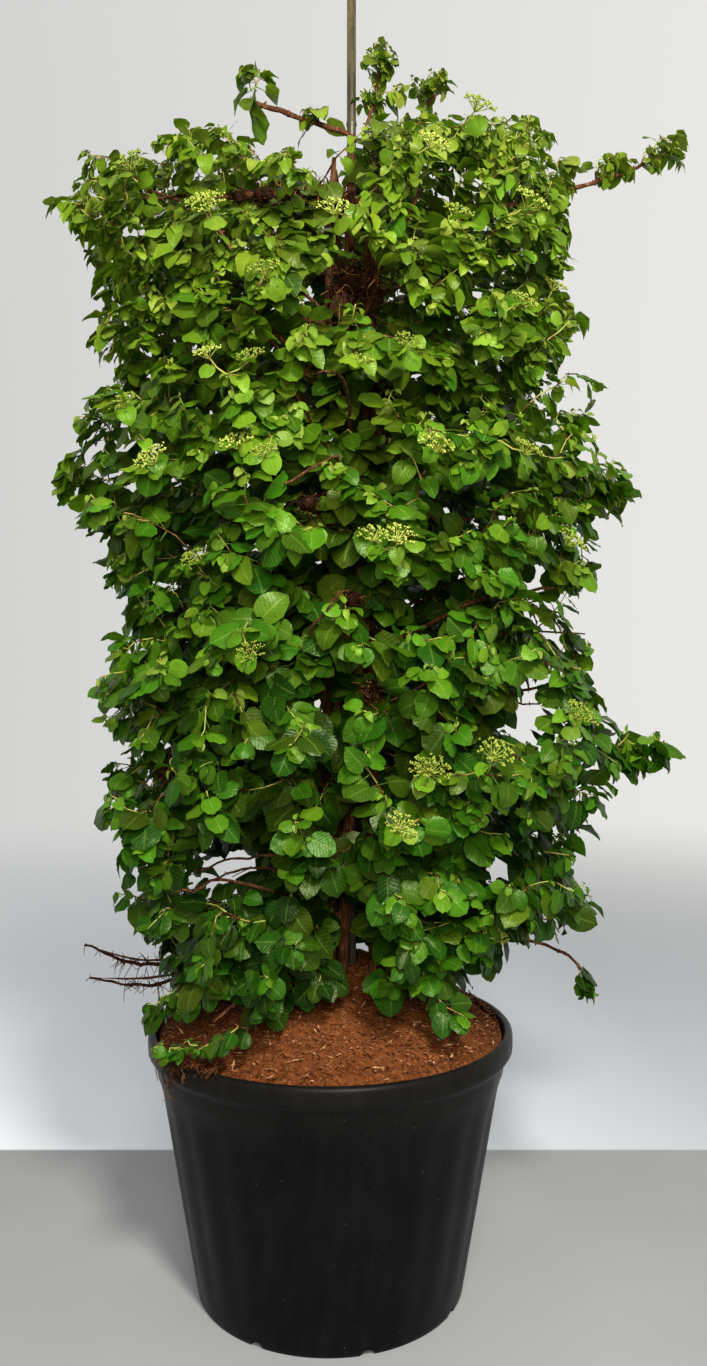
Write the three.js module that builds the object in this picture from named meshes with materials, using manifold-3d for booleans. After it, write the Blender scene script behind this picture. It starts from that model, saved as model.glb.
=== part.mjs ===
// Climbing hydrangea (Hydrangea petiolaris) trained round a cane into a tall column, in a black nursery pot.
// Millimetres, +Z up. The origin is the centre of the pot's base, and -Y is the front.

import * as THREE from "three";
import { mergeVertices } from "three/addons/utils/BufferGeometryUtils.js";
import Module from "manifold-3d";

const wasm = await Module();
wasm.setup();

// Driving dimensions
const GAP = 0.3;
const POT = {
  height: 440, baseRadius: 228, wallRadius: 306, wall: 5, innerTop: 426, segments: 40,
  lipRadius: 316, lipFrom: 402, lipTo: 432, lipRounding: 9, collarFrom: 370, collarTo: 394, collarStep: 3,
  fluteDepth: 3.5, fluteBottom: 38, fluteTop: 345, fluteFade: 22,
  drainHoles: 8, drainWidth: 26, drainHeight: 11, drainReach: 34, drainInset: 4, drainTurn: 0.35,
};
const SOIL = {
  edge: 428, rise: 112, backTilt: 22, lump: 4.2, segments: 25, floor: 8, bands: [0.93, 0.8, 0.62, 0.42, 0.2],
};
const CANE = {
  x: 36, y: 0, radius: 8.5, foot: 70, top: 2400, knuckle: 330, knuckleHalf: 7, swelling: 1.6, sides: 7,
};
const STEMS = {
  count: 5, foot: 330, head: 1990, footRadius: 12.5, headRadius: 6.5, ring: 42, ringSwing: 9,
  footAngle: 0.35, twist: 1.9, sides: 5, rings: 8,
};
const BRANCH = {
  radius: 5.2, tipRadius: 3.6, sides: 3, rings: 3, reach: 0.48, drop: 70, rise: 12, sag: 8, lowest: 592,
};
const ROOT = { radius: 5.2, forkRadius: 4.2, tipRadius: 1.8 };
const TWIG = { radius: 3.2, tipRadius: 2.2, sides: 3, lead: 12, fork: 0.3, bend: 26 };
// A leaf's outline: how far out, how far round from its midrib and how far down its droop two points lie
const ROSETTE = {
  leaves: 4, length: 124, thickness: 1.6, apart: 120, depth: 45, aboveSoil: 48, notch: 0.17, fold: 11,
  outline: [[0.5, 0.84, 0.25], [0.83, 0.5, 0.65]], shorterPair: 0.86, lift: 0.6, collar: 4, crown: 2,
};
// How far a shoot tip's leaves may vary, and how they give way to their neighbours, try by try
const VARIETY = {
  smallest: 0.88, sizes: 0.12, sway: 0.3, droop: 0.2, droops: 0.45,
  tries: 40, headTries: 20, easing: 0.012, shift: 1,
};
const HEAD = {
  radius: 34, rise: 6, depth: 9, florets: 5, waist: 0.72, wave: 2.5, stalk: 48, stalkRadius: 1.6, share: 0.24,
  frontDepth: 120,
};
const SPRAYS = { count: 28, lowest: 570, highest: 1950, startAngle: -1.2, turn: 2.39996 };
const BARE_FRONT = { left: -60, right: 110, top: 660 };
// The column's top is domed: the highest shoot tip in the middle, and the fall to its sides
const CROWN = { height: 2075, fall: 70, halfWidth: 450 };

// The column's half widths where the leafy shoots end: height, left, right, depth
const COLUMN = [
  [470, 225, 225, 225],
  [640, 300, 335, 265],
  [840, 370, 430, 300],
  [1080, 375, 455, 315],
  [1300, 410, 450, 320],
  [1560, 415, 415, 315],
  [1870, 450, 400, 300],
  [1960, 440, 390, 280],
  [2060, 320, 340, 210],
];
const COLUMN_SQUARENESS = 0.8;

// Shoots that stand out of the column: the height where each leaves its stem, the points on its way, where
// its leaves sit and which way they face
const STRAY_SHOOTS = [
  { name: "top_shoot", from: 1940, via: [[66, -30, 2040]], tip: [80, -14, 2100],
    rosettes: [{ at: [84, -12, 2178], facing: [0.1, -0.5, 1], size: 0.62 }] },
  { name: "top_right_shoot", from: 1905, via: [[120, -14, 2000]], tip: [168, -12, 2060],
    rosettes: [{ at: [196, -14, 2112], facing: [0.4, -0.5, 1], size: 0.62 }] },
  { name: "top_left_shoot", from: 1800, via: [[146, -62, 1905], [60, -66, 1985]], tip: [-150, -62, 2062],
    rosettes: [{ at: [-166, -64, 2092], facing: [-0.2, -0.5, 1], size: 0.5 }] },
  { name: "upper_left_shoot", from: 1790, via: [[-180, -40, 1860]], tip: [-350, -40, 1920],
    rosettes: [{ at: [-405, -44, 1955], facing: [-0.5, -0.6, 0.9], size: 0.85 }] },
  { name: "long_right_shoot", from: 1780, via: [[230, 5, 1880], [345, 0, 1905]], tip: [540, 0, 1964],
    rosettes: [{ at: [590, -6, 1985], facing: [0.3, -0.4, 1], size: 0.62 }] },
  { name: "middle_right_shoot", from: 1250, via: [[250, -30, 1330]], tip: [420, -40, 1365],
    rosettes: [{ at: [478, -44, 1378], facing: [0.8, -0.5, 0.6], size: 0.8 }] },
  { name: "middle_left_shoot", from: 1265, via: [[-200, -40, 1345]], tip: [-380, -40, 1372],
    rosettes: [{ at: [-430, -44, 1384], facing: [-0.8, -0.5, 0.6], size: 0.75 }] },
  { name: "low_right_shoot", from: 800, via: [[280, -40, 885]], tip: [470, -24, 920],
    rosettes: [{ at: [525, -26, 922], facing: [0.8, -0.4, 0.7], size: 0.8 }] },
  { name: "arching_right_shoot", from: 605, via: [[210, -30, 588], [325, 0, 584], [410, 0, 558]],
    tip: [446, 0, 520], rosettes: [{ at: [456, -2, 480], facing: [0.6, -0.6, -0.2], size: 0.45 }] },
  { name: "rim_shoot", from: 605, via: [[-60, -130, 576], [-150, -205, 530]], tip: [-184, -232, 505],
    rosettes: [{ at: [-196, -262, 485], facing: [-0.3, -1, 0.5], size: 0.6 }] },
];
// Bare roots that hang out low on the left: the first leaves its stem, and the second forks off it
const BARE_ROOTS = {
  from: 640,
  first: [[-150, -30, 588], [-319, -10, 540], [-434, 0, 572]],
  second: [[-150, -30, 588], [-301, -14, 508], [-424, 0, 515]],
};
// Mats of old clinging roots on the front of the stems: height and half sizes
const ROOT_MATS = [
  { height: 1712, forward: 14, size: [32, 24, 38] },
  { height: 1878, forward: 12, size: [30, 22, 24] },
  { height: 1139, forward: 14, size: [27, 24, 36] },
];
// Flower heads seen at the front: x and height
const FRONT_HEADS = [
  [-190, 1533], [-99, 1517], [119, 1528], [49, 1487], [-259, 1364], [-151, 1339], [42, 1265], [104, 1247],
  [331, 1363], [-214, 1246], [-109, 1078], [246, 940], [67, 816], [161, 1369], [-38, 1741], [290, 1598],
  [149, 921], [182, 1741], [-202, 1781], [-89, 1638],
];

function seeded(seed) {
  let state = seed;
  return () => {
    state = (state + 0x6d2b79f5) | 0;
    let t = Math.imul(state ^ (state >>> 15), 1 | state);
    t = (t + Math.imul(t ^ (t >>> 7), 61 | t)) ^ t;
    return ((t ^ (t >>> 14)) >>> 0) / 4294967296;
  };
}

const random = seeded(20240611);
const spread = (size) => (random() * 2 - 1) * size;
const anyWay = (size) => new THREE.Vector3(spread(size), spread(size), spread(size));
const vector = (list) => new THREE.Vector3(...list);
const UP = new THREE.Vector3(0, 0, 1);

// Solids

function solidOf(geometry) {
  geometry.deleteAttribute("normal");
  geometry.deleteAttribute("uv");
  const merged = mergeVertices(geometry, 1e-4);
  return new wasm.Manifold(new wasm.Mesh({
    numProp: 3,
    vertProperties: new Float32Array(merged.attributes.position.array),
    triVerts: new Uint32Array(merged.index.array),
  }));
}

function geometryOf(solid) {
  const mesh = solid.getMesh();
  const geometry = new THREE.BufferGeometry();
  geometry.setAttribute("position", new THREE.BufferAttribute(mesh.vertProperties, 3));
  geometry.setIndex(new THREE.BufferAttribute(mesh.triVerts, 1));
  return geometry;
}

function indexedSolid(points, faces) {
  const geometry = new THREE.BufferGeometry().setFromPoints(points);
  geometry.setIndex(faces);
  return solidOf(geometry);
}

// One body from several that overlap. A loose scrap is left out.
function joined(solids) {
  const bodies = solids.reduce((whole, next) => whole.add(next)).decompose();
  return bodies.reduce((largest, body) => (body.volume() > largest.volume() ? body : largest));
}

function curveThrough(points) {
  return new THREE.CatmullRomCurve3(points, false, "centripetal");
}

// A closed skin over rings of points. Rings may differ in their number of points, the first and the last
// may be a single point, and every ring runs anticlockwise about the way from one ring to the next.
function skin(rings) {
  const starts = [];
  rings.reduce((count, ring) => {
    starts.push(count);
    return count + ring.length;
  }, 0);
  const faces = [];
  for (let r = 0; r < rings.length - 1; r += 1) {
    const [m, n] = [rings[r].length, rings[r + 1].length];
    let [i, j] = [0, 0];
    while (i < m || j < n) {
      const a = starts[r] + (i % m);
      const b = starts[r + 1] + (j % n);
      const stepBelow = n === 1 || (m > 1 && (i + 1) / m <= (j + 1) / n);
      if (stepBelow) {
        i += 1;
        faces.push(a, starts[r] + (i % m), b);
      } else {
        j += 1;
        faces.push(a, starts[r + 1] + (j % n), b);
      }
      if (n === 1 && i === m) break;
      if (m === 1 && j === n) break;
    }
  }
  const last = rings.length - 1;
  for (let i = 1; i < rings[0].length - 1; i += 1) faces.push(0, i + 1, i);
  for (let i = 1; i < rings[last].length - 1; i += 1) {
    faces.push(starts[last], starts[last] + i, starts[last] + i + 1);
  }
  return indexedSolid(rings.flat(), faces);
}

function circle(centre, side, across, radius, count) {
  return Array.from({ length: count }, (_, i) => {
    const angle = (i / count) * Math.PI * 2;
    return centre.clone()
      .addScaledVector(side, Math.cos(angle) * radius)
      .addScaledVector(across, Math.sin(angle) * radius);
  });
}

// A closed rod along a curve, tapering from one radius to another
function rod(curve, radius, tipRadius, sides, segments) {
  const frames = curve.computeFrenetFrames(segments, false);
  return skin(frames.tangents.map((_, i) => {
    const size = THREE.MathUtils.lerp(radius, tipRadius, i / segments);
    return circle(curve.getPointAt(i / segments), frames.normals[i], frames.binormals[i], size, sides);
  }));
}

// Pot

function wallRadius(z) {
  return THREE.MathUtils.lerp(POT.baseRadius, POT.wallRadius, z / POT.height);
}

function potProfile() {
  const onWall = (z, out = 0) => [wallRadius(z) + out, z];
  const outside = [
    [POT.baseRadius, 0],
    onWall(POT.fluteBottom),
    onWall(POT.fluteBottom + POT.fluteFade),
    onWall(POT.fluteTop - POT.fluteFade),
    onWall(POT.fluteTop),
    onWall(POT.collarFrom, POT.collarStep),
    onWall(POT.collarTo, POT.collarStep),
    [POT.lipRadius, POT.lipFrom],
    [POT.lipRadius, POT.lipTo],
    [POT.lipRadius - POT.lipRounding, POT.height],
  ];
  const inside = [onWall(POT.innerTop, -POT.wall), onWall(POT.wall, -POT.wall)];
  return [[0, 0], ...outside, ...inside, [0, POT.wall]].map(([r, z]) => new THREE.Vector2(r, z));
}

// The radius of the soil's edge, clear of the pot's faceted inner wall
function insideRadius(z) {
  return (wallRadius(z) - POT.wall) * Math.cos(Math.PI / POT.segments) - GAP;
}

// The pot has a flute on every second segment, and drain notches cut in to its foot
function makePot() {
  const geometry = new THREE.LatheGeometry(potProfile(), POT.segments);
  const place = geometry.attributes.position;
  for (let i = 0; i < place.count; i += 1) {
    const radius = Math.hypot(place.getX(i), place.getZ(i));
    const height = place.getY(i);
    const onWall = height > POT.fluteBottom + 1 && height < POT.fluteTop - 1;
    const column = Math.round((Math.atan2(place.getZ(i), place.getX(i)) / (Math.PI * 2)) * POT.segments);
    if (onWall && column % 2 !== 0) {
      const inward = (radius - POT.fluteDepth) / radius;
      place.setX(i, place.getX(i) * inward);
      place.setZ(i, place.getZ(i) * inward);
    }
  }
  geometry.rotateX(Math.PI / 2);
  let pot = solidOf(geometry);
  for (let i = 0; i < POT.drainHoles; i += 1) {
    const hole = new THREE.CylinderGeometry(POT.drainWidth / 2, POT.drainWidth / 2, POT.drainReach, 6);
    hole.scale(1, 1, (POT.drainHeight * 2) / POT.drainWidth);
    hole.rotateZ(Math.PI / 2);
    hole.translate(POT.baseRadius - POT.drainInset, 0, 0);
    hole.rotateZ(((i + POT.drainTurn) / POT.drainHoles) * Math.PI * 2);
    pot = pot.subtract(solidOf(hole));
  }
  return pot;
}

// Soil: a heaped mound that fills the pot, with plain holes for the cane and the stems

function soilHeight(x, y) {
  const edge = insideRadius(SOIL.edge);
  const radius = Math.min(1, Math.hypot(x, y) / edge);
  const dome = SOIL.rise * (1 - radius ** 2.3) ** 0.9;
  const lean = SOIL.backTilt * (y / edge) * (1 - radius ** 6);
  const lumps = Math.sin(x / 31 + 1.3) * Math.cos(y / 27) + 0.6 * Math.sin((x + y) / 17);
  return SOIL.edge + dome + lean + SOIL.lump * lumps * (1 - radius ** 4);
}

function makeSoil() {
  const edge = insideRadius(SOIL.edge);
  const sides = [[0, SOIL.floor], [insideRadius(SOIL.floor), SOIL.floor], [edge, SOIL.edge]];
  const surface = [...SOIL.bands, 0].map((share) => [edge * share, SOIL.edge + 1]);
  const profile = [...sides, ...surface].map(([r, z]) => new THREE.Vector2(r, z));
  const geometry = new THREE.LatheGeometry(profile, SOIL.segments);
  geometry.rotateX(Math.PI / 2);
  const place = geometry.attributes.position;
  for (let i = 0; i < place.count; i += 1) {
    if (place.getZ(i) > SOIL.edge + 0.5) {
      place.setZ(i, soilHeight(place.getX(i), place.getY(i)));
    }
  }
  return solidOf(geometry);
}

// Cane

function caneProfile(extra) {
  const radius = CANE.radius + extra;
  const foot = CANE.foot - extra;
  const profile = [[0, foot], [radius, foot]];
  for (let z = CANE.foot + CANE.knuckle; z < CANE.top - CANE.knuckle / 2; z += CANE.knuckle) {
    profile.push([radius, z - CANE.knuckleHalf], [radius + CANE.swelling, z], [radius, z + CANE.knuckleHalf]);
  }
  profile.push([radius, CANE.top], [0, CANE.top]);
  return profile.map(([r, z]) => new THREE.Vector2(r, z));
}

function makeCane(extra = 0) {
  const geometry = new THREE.LatheGeometry(caneProfile(extra), CANE.sides);
  geometry.rotateX(Math.PI / 2);
  geometry.translate(CANE.x, CANE.y, 0);
  return solidOf(geometry);
}

// Woody stems: they climb round the cane, and each carries its branches, bare roots and root mats

function stemPoint(stem, z) {
  const height = (z - STEMS.foot) / (STEMS.head - STEMS.foot);
  const angle = STEMS.footAngle + (stem / STEMS.count) * Math.PI * 2 + STEMS.twist * height;
  const ring = STEMS.ring + STEMS.ringSwing * Math.sin(height * 9 + stem * 1.7);
  return new THREE.Vector3(CANE.x + Math.cos(angle) * ring, CANE.y + Math.sin(angle) * ring, z);
}

function stemRod(stem, extra) {
  const points = [];
  for (let i = 0; i <= STEMS.rings; i += 1) {
    points.push(stemPoint(stem, THREE.MathUtils.lerp(STEMS.foot - extra, STEMS.head, i / STEMS.rings)));
  }
  const [foot, head] = [STEMS.footRadius + extra, STEMS.headRadius + extra];
  return rod(curveThrough(points), foot, head, STEMS.sides, STEMS.rings);
}

// The stem whose centre is nearest in direction to a point of the column
function nearestStem(target, z) {
  const wanted = Math.atan2(target.y - CANE.y, target.x - CANE.x);
  let best = 0;
  let smallest = Infinity;
  for (let stem = 0; stem < STEMS.count; stem += 1) {
    const point = stemPoint(stem, z);
    const angle = Math.atan2(point.y - CANE.y, point.x - CANE.x);
    const apart = Math.abs(Math.atan2(Math.sin(angle - wanted), Math.cos(angle - wanted)));
    if (apart < smallest) {
      smallest = apart;
      best = stem;
    }
  }
  return best;
}

function frontStem(z) {
  return nearestStem(new THREE.Vector3(CANE.x, CANE.y - 1, z), z);
}

function rootMat({ height, forward, size }) {
  const centre = stemPoint(frontStem(height), height);
  const geometry = new THREE.IcosahedronGeometry(1, 1);
  geometry.deleteAttribute("normal");
  geometry.deleteAttribute("uv");
  const lump = mergeVertices(geometry, 1e-4);
  const place = lump.attributes.position;
  for (let i = 0; i < place.count; i += 1) {
    const swell = 1 + spread(0.24);
    place.setXYZ(i, place.getX(i) * swell, place.getY(i) * swell, place.getZ(i) * swell);
  }
  lump.scale(...size);
  lump.translate(centre.x, centre.y - forward, centre.z);
  return solidOf(lump);
}

function bareRoots(stem) {
  const first = curveThrough([stemPoint(stem, BARE_ROOTS.from), ...BARE_ROOTS.first.map(vector)]);
  const second = curveThrough(BARE_ROOTS.second.map(vector));
  return [
    rod(first, ROOT.radius, ROOT.tipRadius, BRANCH.sides, 4),
    rod(second, ROOT.forkRadius, ROOT.tipRadius, BRANCH.sides, 2),
  ];
}

// Foliage

function columnSize(z) {
  const above = COLUMN.findIndex((row) => row[0] > z);
  if (above === 0) return COLUMN[0].slice(1);
  if (above < 0) return COLUMN[COLUMN.length - 1].slice(1);
  const [low, high] = [COLUMN[above - 1], COLUMN[above]];
  const share = (z - low[0]) / (high[0] - low[0]);
  return [1, 2, 3].map((i) => THREE.MathUtils.lerp(low[i], high[i], share));
}

function columnPoint(z, angle) {
  const [left, right, depth] = columnSize(z);
  const c = Math.cos(angle);
  const s = Math.sin(angle);
  const x = Math.sign(c) * Math.abs(c) ** COLUMN_SQUARENESS * (c < 0 ? left : right);
  const y = Math.sign(s) * Math.abs(s) ** COLUMN_SQUARENESS * depth;
  return new THREE.Vector3(x, y, z);
}

function outwardAt(point) {
  return new THREE.Vector3((point.x - 15) / 1.15, point.y, 0).normalize();
}

// A shoot tip's place near the column's surface, kept off the bare soil at the front
function tipPlace(surface, outward, across, angle, apart) {
  const at = surface.clone()
    .addScaledVector(across, Math.cos(angle) * apart)
    .addScaledVector(UP, Math.sin(angle) * apart)
    .addScaledVector(outward, -random() * ROSETTE.depth);
  const overBareSoil = at.y < 0 && at.z < BARE_FRONT.top && at.x > BARE_FRONT.left && at.x < BARE_FRONT.right;
  if (overBareSoil) {
    at.x = at.x < (BARE_FRONT.left + BARE_FRONT.right) / 2 ? BARE_FRONT.left : BARE_FRONT.right;
  }
  at.z = Math.min(at.z, CROWN.height - CROWN.fall * (at.x / CROWN.halfWidth) ** 2);
  at.z = Math.max(at.z, soilHeight(at.x, at.y) + ROSETTE.aboveSoil);
  return at;
}

// A branch, and the shoot tips that its twigs carry
function planSpray(index) {
  const share = index / (SPRAYS.count - 1);
  const z = THREE.MathUtils.lerp(SPRAYS.lowest, SPRAYS.highest, share);
  const surface = columnPoint(z, index * SPRAYS.turn + SPRAYS.startAngle);
  const rootHeight = Math.max(z - BRANCH.drop, BRANCH.lowest);
  const stem = nearestStem(surface, rootHeight);
  const root = stemPoint(stem, rootHeight);
  const branchEnd = root.clone().lerp(surface, BRANCH.reach);
  branchEnd.z = Math.max(z - BRANCH.rise, BRANCH.lowest);
  const outward = outwardAt(surface);
  const across = new THREE.Vector3(-outward.y, outward.x, 0);
  const facing = outward.clone().addScaledVector(UP, ROSETTE.lift).normalize();
  const turn = random() * 6;
  const rosettes = [0, 1, 2].map((i) => {
    const at = tipPlace(surface, outward, across, turn + (i * Math.PI * 2) / 3, ROSETTE.apart);
    return { at, facing, size: VARIETY.smallest + VARIETY.sizes * random(), head: random() < HEAD.share };
  });
  const name = `leafy_spray_${String(index + 1).padStart(2, "0")}`;
  return { name, stem, root, via: [], branchEnd, rosettes, solids: [], twigs: [] };
}

function planStray({ name, from, via, tip, rosettes }) {
  const way = via.map(vector);
  const stem = nearestStem(way[0], from);
  const tips = rosettes.map(({ at, facing, size }) => (
    { at: vector(at), facing: vector(facing).normalize(), size, head: false }
  ));
  const root = stemPoint(stem, from);
  return { name, stem, root, via: way, branchEnd: vector(tip), rosettes: tips, solids: [], twigs: [] };
}

function branchRoute(plan) {
  const middle = plan.root.clone().lerp(plan.branchEnd, 0.55).addScaledVector(UP, -BRANCH.sag);
  const between = plan.via.length ? plan.via : [middle];
  return curveThrough([plan.root, ...between, plan.branchEnd]);
}

function branchRod(plan) {
  const route = branchRoute(plan);
  const rings = Math.max(BRANCH.rings, route.points.length);
  return rod(route, BRANCH.radius, BRANCH.tipRadius, BRANCH.sides, rings);
}

// Rings round a twig that comes up through the given points to a shoot tip, the last one square to its axis
function twigRings(points, side, across, axis) {
  const rings = [];
  const [ringSide, ringAcross] = [side.clone(), across.clone()];
  let heading = axis.clone();
  for (let i = points.length - 1; i >= 0; i -= 1) {
    const from = points[Math.max(0, i - 1)];
    const to = points[Math.min(points.length - 1, i + 1)];
    const way = i === points.length - 1 ? axis : new THREE.Vector3().subVectors(to, from).normalize();
    const bend = new THREE.Quaternion().setFromUnitVectors(heading, way);
    ringSide.applyQuaternion(bend);
    ringAcross.applyQuaternion(bend);
    heading = way;
    const radius = THREE.MathUtils.lerp(TWIG.radius, TWIG.tipRadius, i / (points.length - 1));
    rings.unshift(circle(points[i], ringSide, ringAcross, radius, TWIG.sides));
  }
  return rings;
}

// The leaves round one shoot tip, as a thin arched blade cut in to the shoot between them. Each leaf is
// folded up along its midrib and droops to its tip.
function leafOutline({ size, turn, droops }, extra) {
  const half = Math.PI / droops.length;
  return droops.flatMap((droop, i) => {
    const angle = turn + i * half * 2;
    const length = size * ROSETTE.length * (i % 2 === 0 ? 1 : ROSETTE.shorterPair) + extra;
    const edge = ([reach, swing, fall], sign) => (
      [length * reach, angle + sign * half * swing, ROSETTE.fold * (1 - fall) - droop * length * fall]
    );
    const [wide, shoulder] = ROSETTE.outline;
    const notch = [size * ROSETTE.length * ROSETTE.notch + extra, angle - half, 0];
    const tip = [length, angle, -droop * length];
    return [notch, edge(wide, -1), edge(shoulder, -1), tip, edge(shoulder, 1), edge(wide, 1)];
  });
}

// A flat-topped flower head over the leaves, its rim raised in florets
function headRings(centre, side, across, axis, extra) {
  const foot = centre.clone().addScaledVector(axis, ROSETTE.crown);
  const stalkFoot = circle(foot, side, across, HEAD.stalkRadius + extra, 3);
  const under = centre.clone().addScaledVector(axis, HEAD.stalk);
  const stalkTop = circle(under, side, across, HEAD.stalkRadius + extra, 3);
  const count = HEAD.florets * 2;
  const rim = Array.from({ length: count }, (_, i) => {
    const angle = (i / count) * Math.PI * 2;
    const outer = i % 2 === 0;
    const reach = HEAD.radius * (outer ? 1 : HEAD.waist) + extra;
    return under.clone()
      .addScaledVector(side, Math.cos(angle) * reach)
      .addScaledVector(across, Math.sin(angle) * reach)
      .addScaledVector(axis, HEAD.depth + (outer ? HEAD.wave : -HEAD.wave));
  });
  return [stalkFoot, stalkTop, rim, [under.clone().addScaledVector(axis, HEAD.depth + HEAD.rise + extra)]];
}

// A shoot tip: its twig, its leaves and perhaps a flower head, as one closed skin
function shootTip({ way, centre, axis, size, turn, droops, head }, extra, withTwig) {
  const side = new THREE.Vector3().crossVectors(UP, axis).normalize();
  const across = new THREE.Vector3().crossVectors(axis, side);
  const onAxis = (height) => centre.clone().addScaledVector(axis, height);
  const outline = leafOutline({ size, turn, droops }, extra);
  const blade = (lift) => outline.map(([radius, angle, height]) => onAxis(height + lift)
    .addScaledVector(side, Math.cos(angle) * radius)
    .addScaledVector(across, Math.sin(angle) * radius));
  const [ringSide, ringAcross] = [side, across].map((v) => v.clone().applyAxisAngle(axis, turn));
  const collar = onAxis(-ROSETTE.collar - extra);
  const twig = withTwig ? twigRings([...way, collar], ringSide, ringAcross, axis) : [[collar]];
  const bud = [[onAxis(ROSETTE.crown + extra)]];
  const top = head ? headRings(centre, ringSide, ringAcross, axis, extra) : bud;
  return skin([...twig, blade(-ROSETTE.thickness - extra), blade(extra), ...top]);
}

// Everything placed so far, by node, so that nothing new crosses another node or its own leaves
const placed = [];

function isClear(candidate, exempt) {
  const box = candidate.boundingBox();
  return placed.every((other) => {
    if (exempt.includes(other)) return true;
    const apart = [0, 1, 2].some((i) => box.min[i] > other.box.max[i] || box.max[i] < other.box.min[i]);
    return apart || candidate.intersect(other.solid).isEmpty();
  });
}

function remember(solid) {
  const entry = { solid, box: solid.boundingBox() };
  placed.push(entry);
  return entry;
}

// Each flower head seen at the front goes to the nearest shoot tip, which moves half way towards it
function claimFrontHeads(tips) {
  const front = tips.filter(({ at }) => at.y < -HEAD.frontDepth);
  front.forEach((tip) => {
    tip.head = false;
  });
  for (const [x, z] of FRONT_HEADS) {
    const free = front.filter((tip) => !tip.head);
    const away = (tip) => Math.hypot(tip.at.x - x, tip.at.z - z);
    const nearest = free.reduce((best, tip) => (away(tip) < away(best) ? tip : best));
    nearest.head = true;
    nearest.at.x = (nearest.at.x + x) / 2;
    nearest.at.z = (nearest.at.z + z) / 2;
  }
}

// The way from a branch's end to each of its shoot tips. The first twig goes on from the branch, a hair clear
// of its end, and the others fork off it.
function planTwigs(spray) {
  const direction = branchRoute(spray).getTangentAt(1);
  const seat = spray.branchEnd.clone().addScaledVector(direction, GAP);
  const lead = seat.clone().addScaledVector(direction, TWIG.lead);
  const fork = lead.clone().lerp(spray.rosettes[0].at, TWIG.fork);
  spray.rosettes.forEach((tip, i) => {
    const bud = tip.at.clone().addScaledVector(tip.facing, -TWIG.bend);
    tip.way = i === 0 ? [seat, lead, fork, bud] : [fork];
  });
}

// Turns, shrinks and flattens a shoot tip's leaves until they are clear of everything placed so far
function addShootTip(spray, tip) {
  for (let attempt = 0; attempt < VARIETY.tries; attempt += 1) {
    const easing = 1 - attempt * VARIETY.easing;
    const droop = () => VARIETY.droop + VARIETY.droops * random() * easing;
    const leaves = {
      way: tip.way,
      centre: tip.at.clone().add(anyWay(VARIETY.shift * attempt)),
      axis: tip.facing.clone().add(anyWay(VARIETY.sway)).normalize(),
      head: tip.head && attempt < VARIETY.headTries,
      size: tip.size * easing,
      turn: random() * Math.PI * 2,
      droops: Array.from({ length: ROSETTE.leaves }, droop),
    };
    if (isClear(shootTip(leaves, 0.5, false), []) && isClear(shootTip(leaves, 0, true), spray.twigs)) {
      const solid = shootTip(leaves, 0, true);
      spray.solids.push(solid);
      spray.twigs.push(remember(solid));
      return;
    }
  }
}

// Materials and meshes

function material(color, roughness) {
  return new THREE.MeshStandardMaterial({ color, roughness, metalness: 0 });
}

const MATERIALS = {
  pot: material("#1e201f", 0.5),
  soil: material("#7a4527", 0.95),
  cane: material("#695c33", 0.6),
  wood: material("#4a3b28", 0.85),
  leaf: material("#4b7617", 0.6),
};

function mesh(name, solid, finish) {
  const node = new THREE.Mesh(geometryOf(solid), finish);
  node.name = name;
  return node;
}

// Putting it together: pot, cane, soil and stems first, then the first shoot tip of each spray, then the next

const plant = new THREE.Group();
plant.name = "potted_climbing_hydrangea";

const pot = makePot();
const cane = makeCane();
let soil = makeSoil().subtract(makeCane(GAP));
for (let stem = 0; stem < STEMS.count; stem += 1) soil = soil.subtract(stemRod(stem, GAP));

const sprays = [];
for (let i = 0; i < SPRAYS.count; i += 1) sprays.push(planSpray(i));
for (const stray of STRAY_SHOOTS) sprays.push(planStray(stray));

const stems = [];
for (let stem = 0; stem < STEMS.count; stem += 1) {
  const pieces = [stemRod(stem, 0)];
  for (const spray of sprays.filter((item) => item.stem === stem)) pieces.push(branchRod(spray));
  for (const mat of ROOT_MATS.filter(({ height }) => frontStem(height) === stem)) pieces.push(rootMat(mat));
  if (nearestStem(vector(BARE_ROOTS.first[0]), BARE_ROOTS.from) === stem) pieces.push(...bareRoots(stem));
  stems.push(joined(pieces));
}
[pot, soil, cane, ...stems].forEach(remember);
claimFrontHeads(sprays.flatMap((spray) => spray.rosettes));
sprays.forEach(planTwigs);
[0, 1, 2].forEach((which) => {
  for (const spray of sprays) {
    if (spray.rosettes[which]) addShootTip(spray, spray.rosettes[which]);
  }
});

plant.add(mesh("pot", pot, MATERIALS.pot));
plant.add(mesh("soil", soil, MATERIALS.soil));
plant.add(mesh("cane", cane, MATERIALS.cane));
stems.forEach((stem, i) => plant.add(mesh(`woody_stem_${i + 1}`, stem, MATERIALS.wood)));
for (const spray of sprays) plant.add(mesh(spray.name, joined(spray.solids), MATERIALS.leaf));

export default plant;
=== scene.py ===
# Climbing hydrangea (Hydrangea petiolaris) trained up a cane into a leafy column, in a black nursery pot.
# Metres, +Z up, and -Y is the front. Every piece is built on the frame's solids.

import math
from functools import partial

import bpy
import numpy as np
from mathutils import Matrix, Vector, noise
from mathutils.bvhtree import BVHTree


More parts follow.
